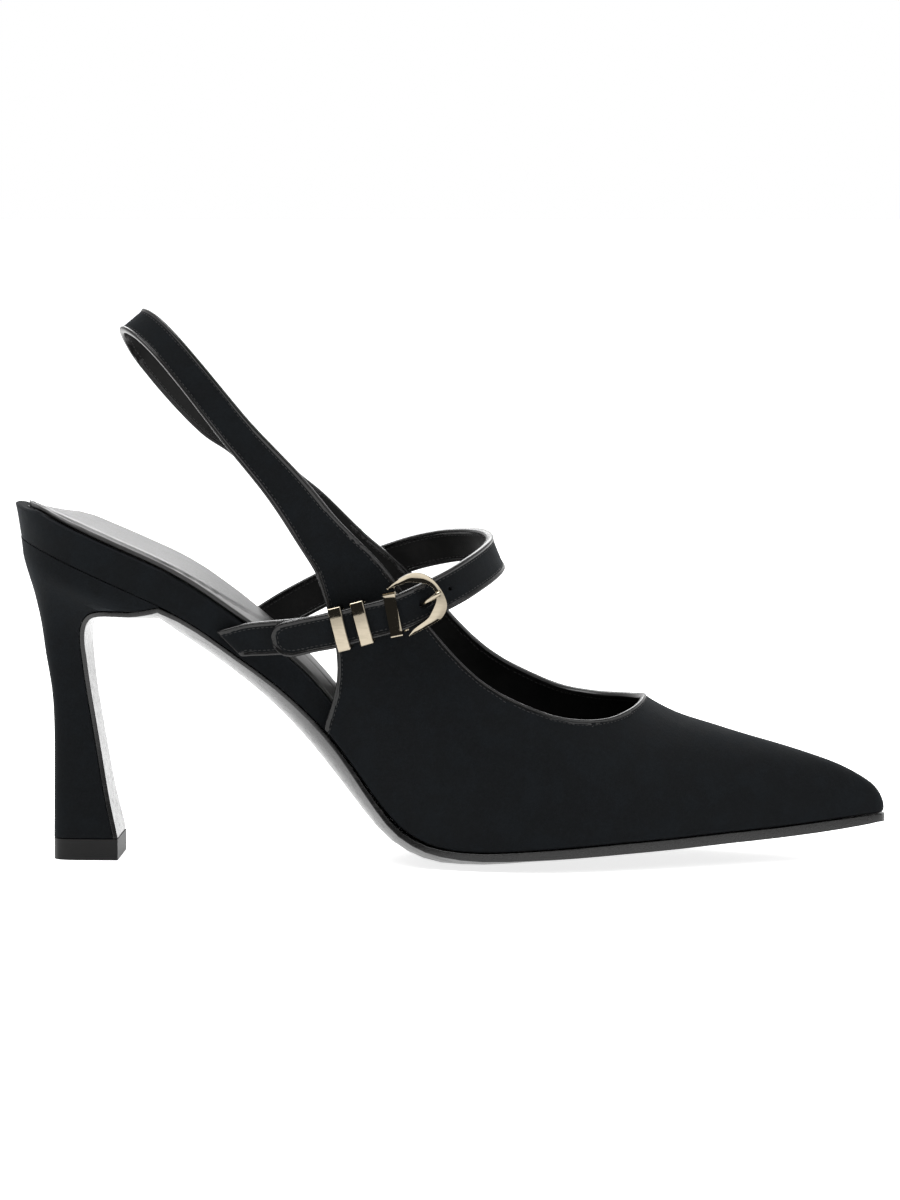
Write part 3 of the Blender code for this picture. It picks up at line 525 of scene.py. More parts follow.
def refine(piece: bpy.types.Object, levels: int, rim_hold: float = 0.75, rounds: int = 3,
           rim: float = RIM_ANGLE, reach: float = 0.0006) -> None:
    """Subdivide a piece into a smooth surface that still passes through its own points.

    Args:
        piece: The piece to smooth.
        levels: How often each face is divided.
        rim_hold: How much of that holds at a sharp rim; less makes the rim rounder.
        rounds: How often the points are corrected.
        rim: Angle past which an edge is a rim.
        reach: Farthest that a point is corrected, in metres.
    """
    mesh = piece.data
    wanted = corners(mesh)
    hold = np.ones((len(wanted), 1))
    form = bmesh.new()
    form.from_mesh(mesh)
    for edge in form.edges:
        if edge.is_manifold and edge.calc_face_angle() > rim:
            for vert in edge.verts:
                hold[vert.index] = rim_hold
    form.free()
    modifier = piece.modifiers.new("smooth", "SUBSURF")
    modifier.levels = levels
    modifier.render_levels = levels
    places = wanted.copy()
    for _ in range(rounds):
        bpy.context.view_layer.update()
        trial = piece.evaluated_get(bpy.context.evaluated_depsgraph_get())
        reached = corners(trial.to_mesh())[:len(wanted)]
        trial.to_mesh_clear()
        shift = places - wanted + (wanted - reached) * hold
        far = np.maximum(np.linalg.norm(shift, axis=1, keepdims=True), 1e-9)
        places = wanted + shift * np.minimum(reach / far, 1.0)
        move_corners(mesh, places)
    pick(piece)
    bpy.ops.object.modifier_apply(modifier=modifier.name)
    bpy.ops.object.shade_smooth()


def face_groups(form: bmesh.types.BMesh) -> list[list[bmesh.types.BMFace]]:
    """Faces in groups that sharp rims part, largest area first.

    Args:
        form: The mesh to look at.

    Returns:
        The groups.
    """
    left = set(form.faces)
    groups = []
    while left:
        start = left.pop()
        group = [start]
        queue = [start]
        while queue:
            face = queue.pop()
            for edge in face.edges:
                if not edge.is_manifold or edge.calc_face_angle() > RIM_ANGLE:
                    continue
                for other in edge.link_faces:
                    if other in left:
                        left.remove(other)
                        group.append(other)
                        queue.append(other)
        groups.append(group)
    return sorted(groups, key=lambda faces: -sum(face.calc_area() for face in faces))


def draw_in(rims: set[bmesh.types.BMFace], shares: Sequence[float]) -> None:
    """Pull the rows beside a rim towards it, so that the binding is as narrow as the real one.

    Args:
        rims: The rim's faces.
        shares: How much of each row's width stays, from the rim inwards.
    """
    row = {vert: Vector() for face in rims for vert in face.verts}
    shifts = dict(row)
    for share in shares:
        following: dict[bmesh.types.BMVert, Vector] = {}
        for vert, shift in row.items():
            for edge in vert.link_edges:
                other = edge.other_vert(vert)
                if other not in shifts and other not in following and edge.calc_length() < ROW_REACH:
                    following[other] = shift + (vert.co - other.co) * (1 - share)
        shifts.update(following)
        row = following
    for vert, shift in shifts.items():
        vert.co += shift


def mark_regions(piece: bpy.types.Object, centre: Vector,
                 is_foot: Callable[[bmesh.types.BMFace], bool] = lambda face: False) -> None:
    """Give each face of a bound wall the slot of its region.

    Args:
        piece: A wall with two skins and bound rims, before it is refined.
        centre: A place inside the foot, to tell the outside from the lining.
        is_foot: Says which rim faces are sewn under and have no binding.
    """
    form = bmesh.new()
    form.from_mesh(piece.data)
    groups = face_groups(form)
    for faces in groups[:2]:
        outward = sum((face.calc_center_median() - centre).dot(face.normal) * face.calc_area()
                      for face in faces)
        region = Region.SUEDE if outward > 0 else Region.LINING
        for face in faces:
            face.material_index = region.value
    rims = {face for faces in groups[2:] for face in faces}
    feet = {face for face in rims if is_foot(face)}
    bound = rims - feet
    draw_in(bound, BINDING_SHARES)
    for face in bound:
        face.material_index = Region.BINDING.value
    for face in feet:
        face.material_index = Region.FOOT.value
    form.to_mesh(piece.data)
    form.free()


def widen_binding(piece: bpy.types.Object, width: float = BINDING_WIDTH) -> None:
    """Carry the binding's leather from the rim onto both skins.

    Args:
        piece: The refined piece, whose rim alone is marked as binding.
        width: How far the leather reaches from the rim.
    """
    form = bmesh.new()
    form.from_mesh(piece.data)
    binding = Region.BINDING.value
    skins = (Region.SUEDE.value, Region.LINING.value)
    bound = {vert for face in form.faces if face.material_index == binding for vert in face.verts}
    rim = [vert for vert in bound if any(face.material_index in skins for face in vert.link_faces)]
    near = KDTree(len(rim))
    for index, vert in enumerate(rim):
        near.insert(vert.co, index)
    near.balance()
    for face in form.faces:
        if face.material_index in skins and near.find(face.calc_center_median())[2] < width:
            face.material_index = binding
    form.to_mesh(piece.data)
    form.free()


def border_lines(piece: bpy.types.Object, first: Region, second: Region) -> list[tuple[list, list]]:
    """Follow the lines where two regions of a piece meet.

    Args:
        piece: The refined piece.
        first: Region that the lines look back at.
        second: Region that they look towards.

    Returns:
        For each line its points and, for each point, the direction into the second region.
    """
    form = bmesh.new()
    form.from_mesh(piece.data)
    steps: dict[int, list[int]] = {}
    into: dict[int, Vector] = {}
    for edge in form.edges:
        if len(edge.link_faces) != 2:
            continue
        slots = {face.material_index: face for face in edge.link_faces}
        if set(slots) != {first.value, second.value}:
            continue
        along = (edge.verts[1].co - edge.verts[0].co).normalized()
        way = slots[second.value].calc_center_median() - edge.verts[0].co
        way -= along * way.dot(along)
        for near, far in (tuple(edge.verts), tuple(edge.verts)[::-1]):
            steps.setdefault(near.index, []).append(far.index)
            into[near.index] = into.get(near.index, Vector()) + way.normalized()
    form.verts.ensure_lookup_table()
    lines = []
    ends = [index for index, links in steps.items() if len(links) == 1]
    starts = ends + list(steps)
    seen: set[int] = set()
    for start in starts:
        if start in seen:
            continue
        line = [start]
        seen.add(start)
        while True:
            fresh = [index for index in steps[line[-1]] if index not in seen]
            if not fresh:
                break
            line.append(fresh[0])
            seen.add(fresh[0])
        if len(line) > 3:
            if line[0] in steps[line[-1]]:
                line.append(line[0])
            lines.append(([form.verts[index].co.copy() for index in line],
                          [into[index].normalized() for index in line]))
    form.free()
    return lines


def evenly(points: Sequence[Vector], step: float) -> list[Vector]:
    """Points at an even step along a line.

    Args:
        points: The line.
        step: Wanted spacing in metres.

    Returns:
        The spaced points, both ends included.
    """
    path = np.array([tuple(point) for point in points])
    run = np.concatenate([[0.0], np.cumsum(np.linalg.norm(np.diff(path, axis=0), axis=1))])
    stops = np.linspace(0, run[-1], max(int(run[-1] / step), 2) + 1)
    return [Vector([np.interp(stop, run, path[:, axis]) for axis in range(3)]) for stop in stops]


def smooth_line(points: Sequence[Vector], cuts: int = 8) -> list[Vector]:
    """A curved line through given points.

    Args:
        points: The points to pass.
        cuts: Steps between two of them.

    Returns:
        The line's points.
    """
    ends = [points[0] * 2 - points[1], *points, points[-1] * 2 - points[-2]]
    line = []
    for a, b, c, d in zip(ends, ends[1:], ends[2:], ends[3:]):
        for step in range(cuts):
            t = step / cuts
            line.append((b * 2 + (c - a) * t + (a * 2 - b * 5 + c * 4 - d) * t ** 2
                         + (b * 3 - a - c * 3 + d) * t ** 3) / 2)
    return line + [points[-1].copy()]


def settle(piece: bpy.types.Object, materials: Sequence[bpy.types.Material],
           nodes: Sequence[str] = ()) -> None:
    """Dress a finished piece and fix it to the shoe.

    Args:
        piece: The piece.
        materials: Its materials in slot order.
        nodes: The solids that it stands for.
    """
    for material in materials:
        piece.data.materials.append(material)
    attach(piece, BODY)
    if nodes:
        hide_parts(*nodes)
    log.info("%s: %d faces", piece.name, len(piece.data.polygons))


# Seams


@dataclass
class StitchRow:
    """A row of lockstitches beside a binding."""

    pitch: float = 0.00135
    length: float = 0.00096
    width: float = 0.00026
    height: float = 0.00020
    beside: float = 0.00040
    sunk_share: float = 0.25
    path_step: float = 0.0012
    calming: int = 2
    least_stitches: int = 4

    def path(self, piece: bpy.types.Object, line: tuple[list, list]) -> list[Vector]:
        """Lay the row on the surface beside a border.

        Args:
            piece: The piece that is sewn.
            line: The border's points and directions away from the binding.

        Returns:
            The row's points.
        """
        tree = BVHTree.FromObject(piece, bpy.context.evaluated_depsgraph_get())
        moved = []
        for point, way in zip(*line):
            spot, normal, _, _ = tree.find_nearest(point + way * self.beside)
            moved.append(spot + normal * (self.height * self.sunk_share))
        spaced = evenly(moved, self.path_step)
        for _ in range(self.calming):
            inner = [(a + b * 2 + c) / 4 for a, b, c in zip(spaced, spaced[1:], spaced[2:])]
            spaced = [spaced[0], *inner, spaced[-1]]
        return spaced

    def sew(self, name: str, piece: bpy.types.Object, lines: Sequence[tuple[list, list]],
            thread: bpy.types.Material) -> None:
        """Sew along each border line.

        Args:
            name: Name of the stitches' piece.
            piece: The piece that is sewn.
            lines: The borders to follow.
            thread: The thread's material.
        """
        rows = []
        for line in lines:
            run = sum((b - a).length for a, b in zip(line[0], line[0][1:]))
            if run > self.least_stitches * self.pitch:
                rows.append(self.row(self.path(piece, line)))
        pick(*rows)
        if len(rows) > 1:
            bpy.ops.object.join()
        rows[0].name = name
        rows[0].data.name = name
        settle(rows[0], [thread])

    def row(self, path: Sequence[Vector]) -> bpy.types.Object:
        """One row of stitches along a path.

        Args:
            path: The row's points.

        Returns:
            The stitches as one mesh.
        """
        guide = bpy.data.curves.new("stitch_guide", "CURVE")
        guide.dimensions = "3D"
        spline = guide.splines.new("POLY")
        spline.points.add(len(path) - 1)
        for point, spot in zip(spline.points, path):
            point.co = (*spot, 1.0)
        rail = bpy.data.objects.new("stitch_guide", guide)
        bpy.context.scene.collection.objects.link(rail)
        bpy.ops.object.select_all(action="DESELECT")
        bpy.ops.mesh.primitive_uv_sphere_add(segments=6, ring_count=4, radius=0.5)
        stitch = bpy.context.active_object
        stitch.scale = (self.width, self.height, self.length)
        stitch.rotation_euler = (0, math.radians(90), 0)
        bpy.ops.object.transform_apply(location=False, rotation=True, scale=True)
        apply_modifier(stitch, "ARRAY", fit_type="FIT_CURVE", curve=rail, use_relative_offset=False,
                       use_constant_offset=True, constant_offset_displace=(self.pitch, 0, 0))
        apply_modifier(stitch, "CURVE", object=rail, deform_axis="POS_X")
        bpy.ops.object.shade_smooth()
        bpy.data.objects.remove(rail)
        return stitch


# Pieces


@dataclass
class Materials:
    """The finishes that several pieces share."""

    suede: bpy.types.Material
    binding: bpy.types.Material
    lining: bpy.types.Material
    sock: bpy.types.Material
    sole: bpy.types.Material
    tip: bpy.types.Material
    metal: bpy.types.Material
    thread: bpy.types.Material

    @classmethod
    def make(cls) -> "Materials":
        """Build every finish.

        Returns:
            The finishes.
        """
        return cls(
            suede=Suede("black_suede").make(),
            binding=Leather("binding_leather", shade=0.005, roughness=0.19, grain=0.0004, wear=0.04,
                            shine=0.32).make(),
            lining=Leather("lining_leather", shade=0.006, roughness=0.40, grain=0.0005, shine=0.13).make(),
            sock=Leather("sock_leather", shade=0.016, roughness=0.33, grain=0.0006, shine=0.4).make(),
            sole=SoleLeather("sole_leather").make(),
            tip=TipPlastic("tip_plastic").make(),
            metal=PolishedMetal("pale_gold").make(),
            thread=Thread("black_thread").make(),
        )

    def bound(self) -> list[bpy.types.Material]:
        """Materials of a bound piece, in the order of Region."""
        return [self.suede, self.lining, self.binding, self.lining]


@dataclass
class Upper:
    """Vamp, quarters and sling with their binding and stitches."""

    nodes: dict[str, bpy.types.Object]
    looks: Materials
    middle: tuple[float, float, float] = (0.100, 0.0, 0.030)
    sewn_under: float = 0.0030
    facing_down: float = -0.35

    def build(self) -> None:
        """Smooth the wall, mark its regions and sew it."""
        piece = taken_from(self.nodes["upper"], "upper_wall")
        sole = BVHTree.FromObject(self.nodes["outsole"], bpy.context.evaluated_depsgraph_get())

        def is_foot(face: bmesh.types.BMFace) -> bool:
            """True for a rim face that stands on the sole."""
            near = sole.find_nearest(face.calc_center_median())[3]
            return near < self.sewn_under and face.normal.z < self.facing_down

        mark_regions(piece, Vector(self.middle), is_foot)
        refine(piece, 2, rounds=1, reach=0.0004)
        widen_binding(piece)
        settle(piece, self.looks.bound(), ["upper"])
        skins = {"upper_stitches_outside": Region.SUEDE, "upper_stitches_lining": Region.LINING}
        for name, skin in skins.items():
            lines = border_lines(piece, Region.BINDING, skin)
            StitchRow().sew(name, piece, lines, self.looks.thread)


@dataclass
class Strap:
    """A bound strap, with punched holes where it has them."""

    node: bpy.types.Object
    looks: Materials
    holes: Sequence[tuple[float, float, float]] = ()
    hole_radii: Sequence[float] = ()
    hole_depths: Sequence[float] = ()
    board: bpy.types.Object | None = None
    middle: tuple[float, float, float] = (0.080, 0.0, 0.070)
    along: tuple[float, float, float] = (0.940, 0.024, 0.340)
    hole_stretch: float = 2.0
    punch_length: float = 0.0080
    punch_search: tuple[float, float, float] = (0.0, -0.0040, 0.0)
    through: float = 0.0020
    cut_reach: float = 0.0018
    root_reach: float = 0.0030
    root_facing: tuple[float, float] = (-0.6, -0.5)

    def close_cut(self, piece: bpy.types.Object) -> None:
        """Close the solid's own prong hole so that the strap refines evenly.

        Args:
            piece: The strap, before it is refined.
        """
        form = bmesh.new()
        form.from_mesh(piece.data)
        centre = Vector(self.holes[0])
        near = [vert for vert in form.verts if (vert.co - centre).length < self.cut_reach]
        bmesh.ops.delete(form, geom=near, context="VERTS")
        open_edges = [edge for edge in form.edges if edge.is_boundary]
        bmesh.ops.holes_fill(form, edges=open_edges, sides=0)
        form.to_mesh(piece.data)
        form.free()

    def punch(self, piece: bpy.types.Object) -> None:
        """Punch the holes from the outside, where a shallow one goes part of the way.

        Args:
            piece: The refined strap.
        """
        tree = BVHTree.FromObject(piece, bpy.context.evaluated_depsgraph_get())
        for place, radius, depth in zip(self.holes, self.hole_radii, self.hole_depths):
            face, normal, _, _ = tree.find_nearest(Vector(place) + Vector(self.punch_search))
            bpy.ops.object.select_all(action="DESELECT")
            bpy.ops.mesh.primitive_cylinder_add(vertices=20, radius=radius, depth=self.punch_length)
            punch = bpy.context.active_object
            along = (Vector(self.along) - normal * normal.dot(Vector(self.along))).normalized()
            turned = Matrix((along, normal.cross(along), normal)).transposed()
            stretch, shift = 1.0, 0.0
            if depth > self.through:
                stretch, shift = self.hole_stretch, radius * self.hole_stretch
            middle = face + normal * (self.punch_length / 2 - depth) + along * shift
            punch.matrix_world = (Matrix.Translation(middle) @ turned.to_4x4()
                                  @ Matrix.Diagonal((stretch, 1.0, 1.0, 1.0)))
            apply_modifier(piece, "BOOLEAN", operation="DIFFERENCE", object=punch, solver="EXACT")
            bpy.data.objects.remove(punch)

    def build(self) -> None:
        """Smooth the strap, punch and sew it."""
        name = self.node.name
        piece = taken_from(self.node, name + "_suede")
        if self.holes:
            self.close_cut(piece)
        board = BVHTree.FromObject(self.board, bpy.context.evaluated_depsgraph_get())
        back, down = self.root_facing

        def is_root(face: bmesh.types.BMFace) -> bool:
            """True for a rim face at the end that is sewn under the board."""
            near = board.find_nearest(face.calc_center_median())[3]
            return near < self.root_reach and face.normal.x < back and face.normal.z < down

        mark_regions(piece, Vector(self.middle), is_root)
        refine(piece, 2, rounds=2, reach=0.0005)
        widen_binding(piece)
        outside = border_lines(piece, Region.BINDING, Region.SUEDE)
        lining = border_lines(piece, Region.BINDING, Region.LINING)
        rows = StitchRow()
        rows.sew(name + "_stitches", piece, outside + lining, self.looks.thread)
        self.punch(piece)
        settle(piece, self.looks.bound(), [name])


@dataclass
class SeatShape:
    """Edges and heights of the sock along the shoe, and how far the seat falls below its solid."""

    node: bpy.types.Object
    stations: int = 240
    fall: float = 0.0026
    fall_places: Sequence[tuple[float, float]] = (
        (-0.0300, 0.55), (-0.0185, 0.55), (-0.0150, 0.85), (-0.0125, 1.0), (-0.0111, 1.0), (-0.0083, 0.77),
        (-0.0040, 0.27), (0.0003, 0.0), (0.0180, -0.06), (0.0260, -0.18), (0.0346, -0.34), (0.0430, -0.36),
        (0.0600, 0.0))
    heights_width: int = 9
    end_inset: float = 0.00005
    edge_reach: float = 0.0003
    back_start: float = -0.0110
    back_run: float = 0.0085
    full_share: float = 1.1
    least_width: float = 0.020
    back: float = field(init=False)
    along: np.ndarray = field(init=False)
    low: np.ndarray = field(init=False)
    high: np.ndarray = field(init=False)
    heights: list[np.ndarray] = field(init=False)

    def __post_init__(self) -> None:
        """Cut the solid at many places along the shoe."""
        places = corners(self.node.data)
        ends = np.empty(len(self.node.data.edges) * 2, dtype=int)
        self.node.data.edges.foreach_get("vertices", ends)
        first, last = places[ends[::2]], places[ends[1::2]]
        self.back, front = places[:, 0].min() + self.end_inset, places[:, 0].max() - self.end_inset
        turn = np.linspace(0, math.pi, self.stations)
        self.along = self.back + (front - self.back) * (1 - np.cos(turn)) / 2
        rows = []
        for x in self.along:
            crossing = (first[:, 0] - x) * (last[:, 0] - x) < 0
            a, b = first[crossing], last[crossing]
            cut = a + (b - a) * ((x - a[:, 0]) / (b[:, 0] - a[:, 0]))[:, None]
            low, high = cut[:, 1].min(), cut[:, 1].max()
            places_across = ((low, 0.0), ((low + high) / 2, high - low), (high, 0.0))
            tops = [cut[np.abs(cut[:, 1] - side) < max(reach, self.edge_reach), 2].max()
                    for side, reach in places_across]
            rows.append((low, high, *tops))
        self.low, self.high, *heights = np.array(rows).T
        kernel = np.hanning(self.heights_width + 2)[1:-1]
        padded = [np.pad(height, self.heights_width // 2, mode="edge") for height in heights]
        self.heights = [np.convolve(height, kernel / kernel.sum(), mode="valid") for height in padded]

    def sinking(self, x: np.ndarray, share: np.ndarray) -> np.ndarray:
        """How far the seat lies below its solid.

        Args:
            x: Places along the shoe.
            share: Places across, from -1 at the outer edge to 1 at the inner edge.

        Returns:
            The fall at each place, below zero where the seat lies higher.
        """
        run, amount = zip(*self.fall_places)
        across = np.maximum(np.clip((share + 1) / self.full_share, 0, 1),
                            np.clip((self.back_start - x) / self.back_run, 0, 1))
        return self.fall * np.interp(x, run, amount) * across ** 2 * (3 - 2 * across)

    def share(self, x: np.ndarray, y: np.ndarray) -> np.ndarray:
        """Where places lie between the sock's edges.

        Args:
            x: Places along the shoe.
            y: Places across it.

        Returns:
            Shares from -1 at the outer edge to 1 at the inner edge.
        """
        low = np.interp(x, self.along, self.low)
        high = np.interp(x, self.along, self.high)
        return np.clip((y * 2 - low - high) / np.maximum(high - low, self.least_width), -1.0, 1.0)


@dataclass
class Sock:
    """Padded leather sock: a raised heel pad with a rounded tongue, and a flat border."""

    seat: SeatShape
    looks: Materials
    columns: int = 36
    border_back: float = 0.0060
    border_side: float = 0.0020
    tongue_start: float = 0.0200
    tongue_end: float = 0.0530
    pad_rise: float = 0.0006
    pad_slope: float = 0.0030
    groove_depth: float = 0.00045
    groove_half: float = 0.00050
    rim_round: float = 0.0012
    thickness: float = 0.0016
    back_setback: float = 0.0030
    setback_run: float = 0.030
    pad_round: float = 0.6

    def build(self) -> None:
        """Lay the sock, raise its pad and sink the seam."""
        seat = self.seat
        piece = new_grid("sock", seat.stations - 1, self.columns)
        places = corners(piece.data)
        station = (places[:, 0] + 1) / 2 * (seat.stations - 1)
        across = np.sin(places[:, 1] * math.pi / 2)
        order = np.arange(seat.stations)
        x = np.interp(station, order, seat.along)
        x += self.back_setback * np.clip(1 - (x - seat.back) / self.setback_run, 0, 1)
        low, high = np.interp(station, order, seat.low), np.interp(station, order, seat.high)
        outer, middle, inner = (np.interp(x, seat.along, height) for height in seat.heights)
        half = (high - low) / 2
        z = middle + (inner - outer) / 2 * across + ((inner + outer) / 2 - middle) * across ** 2
        y = (low + high) / 2 + half * across
        z -= seat.sinking(x, seat.share(x, y))
        share = np.clip((x - self.tongue_start) / (self.tongue_end - self.tongue_start), 0, 1)
        pad_half = (half - self.border_side) * np.sqrt(1 - share ** 2)
        inside = np.minimum(pad_half - half * np.abs(across), x - seat.back - self.border_back)
        z += self.pad_rise * np.clip(inside / self.pad_slope, 0, 1) ** self.pad_round
        z -= self.groove_depth * np.exp(-(inside / self.groove_half) ** 2)
        rim = np.clip(half * (1 - np.abs(across)) / self.rim_round, 0, 1)
        z -= self.rim_round * (1 - np.sqrt(1 - (1 - rim) ** 2))
        move_corners(piece.data, np.stack([x, y, z], axis=1))
        apply_modifier(piece, "SOLIDIFY", thickness=self.thickness, offset=-1.0)
        bpy.ops.object.shade_smooth()
        settle(piece, [self.looks.sock], ["insole"])


@dataclass
class RigidPiece:
    """A stiff piece whose solid only needs soft edges and a smooth surface."""

    node: bpy.types.Object
    name: str
    slot: str
    material: bpy.types.Material
    edge: float
    levels: int = 1
    rounds: int = 3
    rim: float = math.radians(20)
    reach: float = 0.0003
    corner: float = math.radians(50)

    def build(self) -> bpy.types.Object:
        """Soften the piece's edges and refine it.

        Returns:
            The finished piece.
        """
        piece = taken_from(self.node, self.name)
        apply_modifier(piece, "BEVEL", width=self.edge, segments=2, limit_method="ANGLE",
                       angle_limit=self.corner)
        if self.levels:
            refine(piece, self.levels, rim_hold=0.0, rounds=self.rounds, rim=self.rim, reach=self.reach)
        else:
            apply_modifier(piece, "WEIGHTED_NORMAL")
        settle(piece, [self.material], [self.node.name])
        return piece


@dataclass
class WrappedBoard(RigidPiece):
    """The insole board, whose seat falls as far as the sock does."""

    seat: SeatShape | None = None
    sock_thickness: float = 0.0015
    fading: float = 0.0045

    def build(self) -> bpy.types.Object:
        """Refine the board and lay its seat as low as the sock.

        Returns:
            The finished board.
        """
        piece = super().build()
        places = corners(piece.data)
        x, y = places[:, 0], places[:, 1]
        height = np.interp(x, self.seat.along, self.seat.heights[0]) - self.sock_thickness
        depth = height - places[:, 2]
        upper_side = 1 - np.clip(depth / self.fading, 0, 1)
        places[:, 2] -= self.seat.sinking(x, self.seat.share(x, y)) * upper_side
        move_corners(piece.data, places)
        return piece


def front_faces(form: bmesh.types.BMesh, centre: Vector, out: Vector) -> list[bmesh.types.BMFace]:
    """Faces of a keeper that lie in its front's plane, through centre with the normal out."""
    return [face for face in form.faces if face.normal.dot(out) > FACING
            and abs((face.calc_center_median() - centre).dot(out)) < SAME_PLANE]


@dataclass
class Keeper:
    """A metal loop around the strap, with a crowned front."""

    node: bpy.types.Object
    looks: Materials
    outward: tuple[float, float, float] = (0.0, -1.0, 0.0)
    corner: float = 0.00055
    edge: float = 0.00020
    crown: float = 0.00028
    front_cuts: int = 9
    front_depth: float = 0.0004
    tilt: float = 0.0
    turn: float = 0.0
    widen: float = 1.0
    border: float = 0.0
    border_rise: float = 0.00014

    def build(self) -> None:
        """Round the solid's loop and crown its front."""
        piece = taken_from(self.node, self.node.name + "_loop")
        form = bmesh.new()
        form.from_mesh(piece.data)
        ways = [(edge.verts[1].co - edge.verts[0].co).normalized() for edge in form.edges]
        widest = max(form.faces, key=lambda face: face.normal.dot(Vector(self.outward)) * face.calc_area())
        out = widest.normal.copy()
        centre = widest.calc_center_median()
        sides = sorted(widest.edges, key=lambda edge: edge.calc_length())
        across = (sides[0].verts[1].co - sides[0].verts[0].co).normalized()
        up = across.cross(out).normalized()
        half = sides[-1].calc_length() / 2
        rows = [edge for edge, way in zip(form.edges, ways) if abs(way.dot(across)) > PARALLEL]
        bmesh.ops.bevel(form, geom=rows, offset=self.corner, segments=3, profile=0.5, affect="EDGES")
        uprights = [edge for face in front_faces(form, centre, out) for edge in face.edges
                    if abs((edge.verts[1].co - edge.verts[0].co).normalized().dot(up)) > PARALLEL]
        bmesh.ops.subdivide_edges(form, edges=uprights, cuts=self.front_cuts, use_grid_fill=True)
        if self.border:
            bmesh.ops.inset_region(form, faces=front_faces(form, centre, out), thickness=self.border,
                                   depth=-self.border_rise, use_even_offset=True)
        for vert in form.verts:
            away = vert.co - centre
            if away.dot(out) > -self.front_depth:
                share = away.dot(up) / half
                lift = self.crown * max(1 - share * share, 0.0) - math.tan(self.tilt) * half * share
                vert.co += out * lift
        turned = Matrix.Rotation(self.turn, 3, out)
        for vert in form.verts:
            away = vert.co - centre
            away += across * (away.dot(across) * (self.widen - 1))
            vert.co = centre + turned @ away
        form.to_mesh(piece.data)
        form.free()
        apply_modifier(piece, "BEVEL", width=self.edge, segments=1, limit_method="ANGLE",
                       angle_limit=math.radians(35))
        pick(piece)
        bpy.ops.object.shade_smooth_by_angle(angle=math.radians(25))
        settle(piece, [self.looks.metal], [self.node.name])


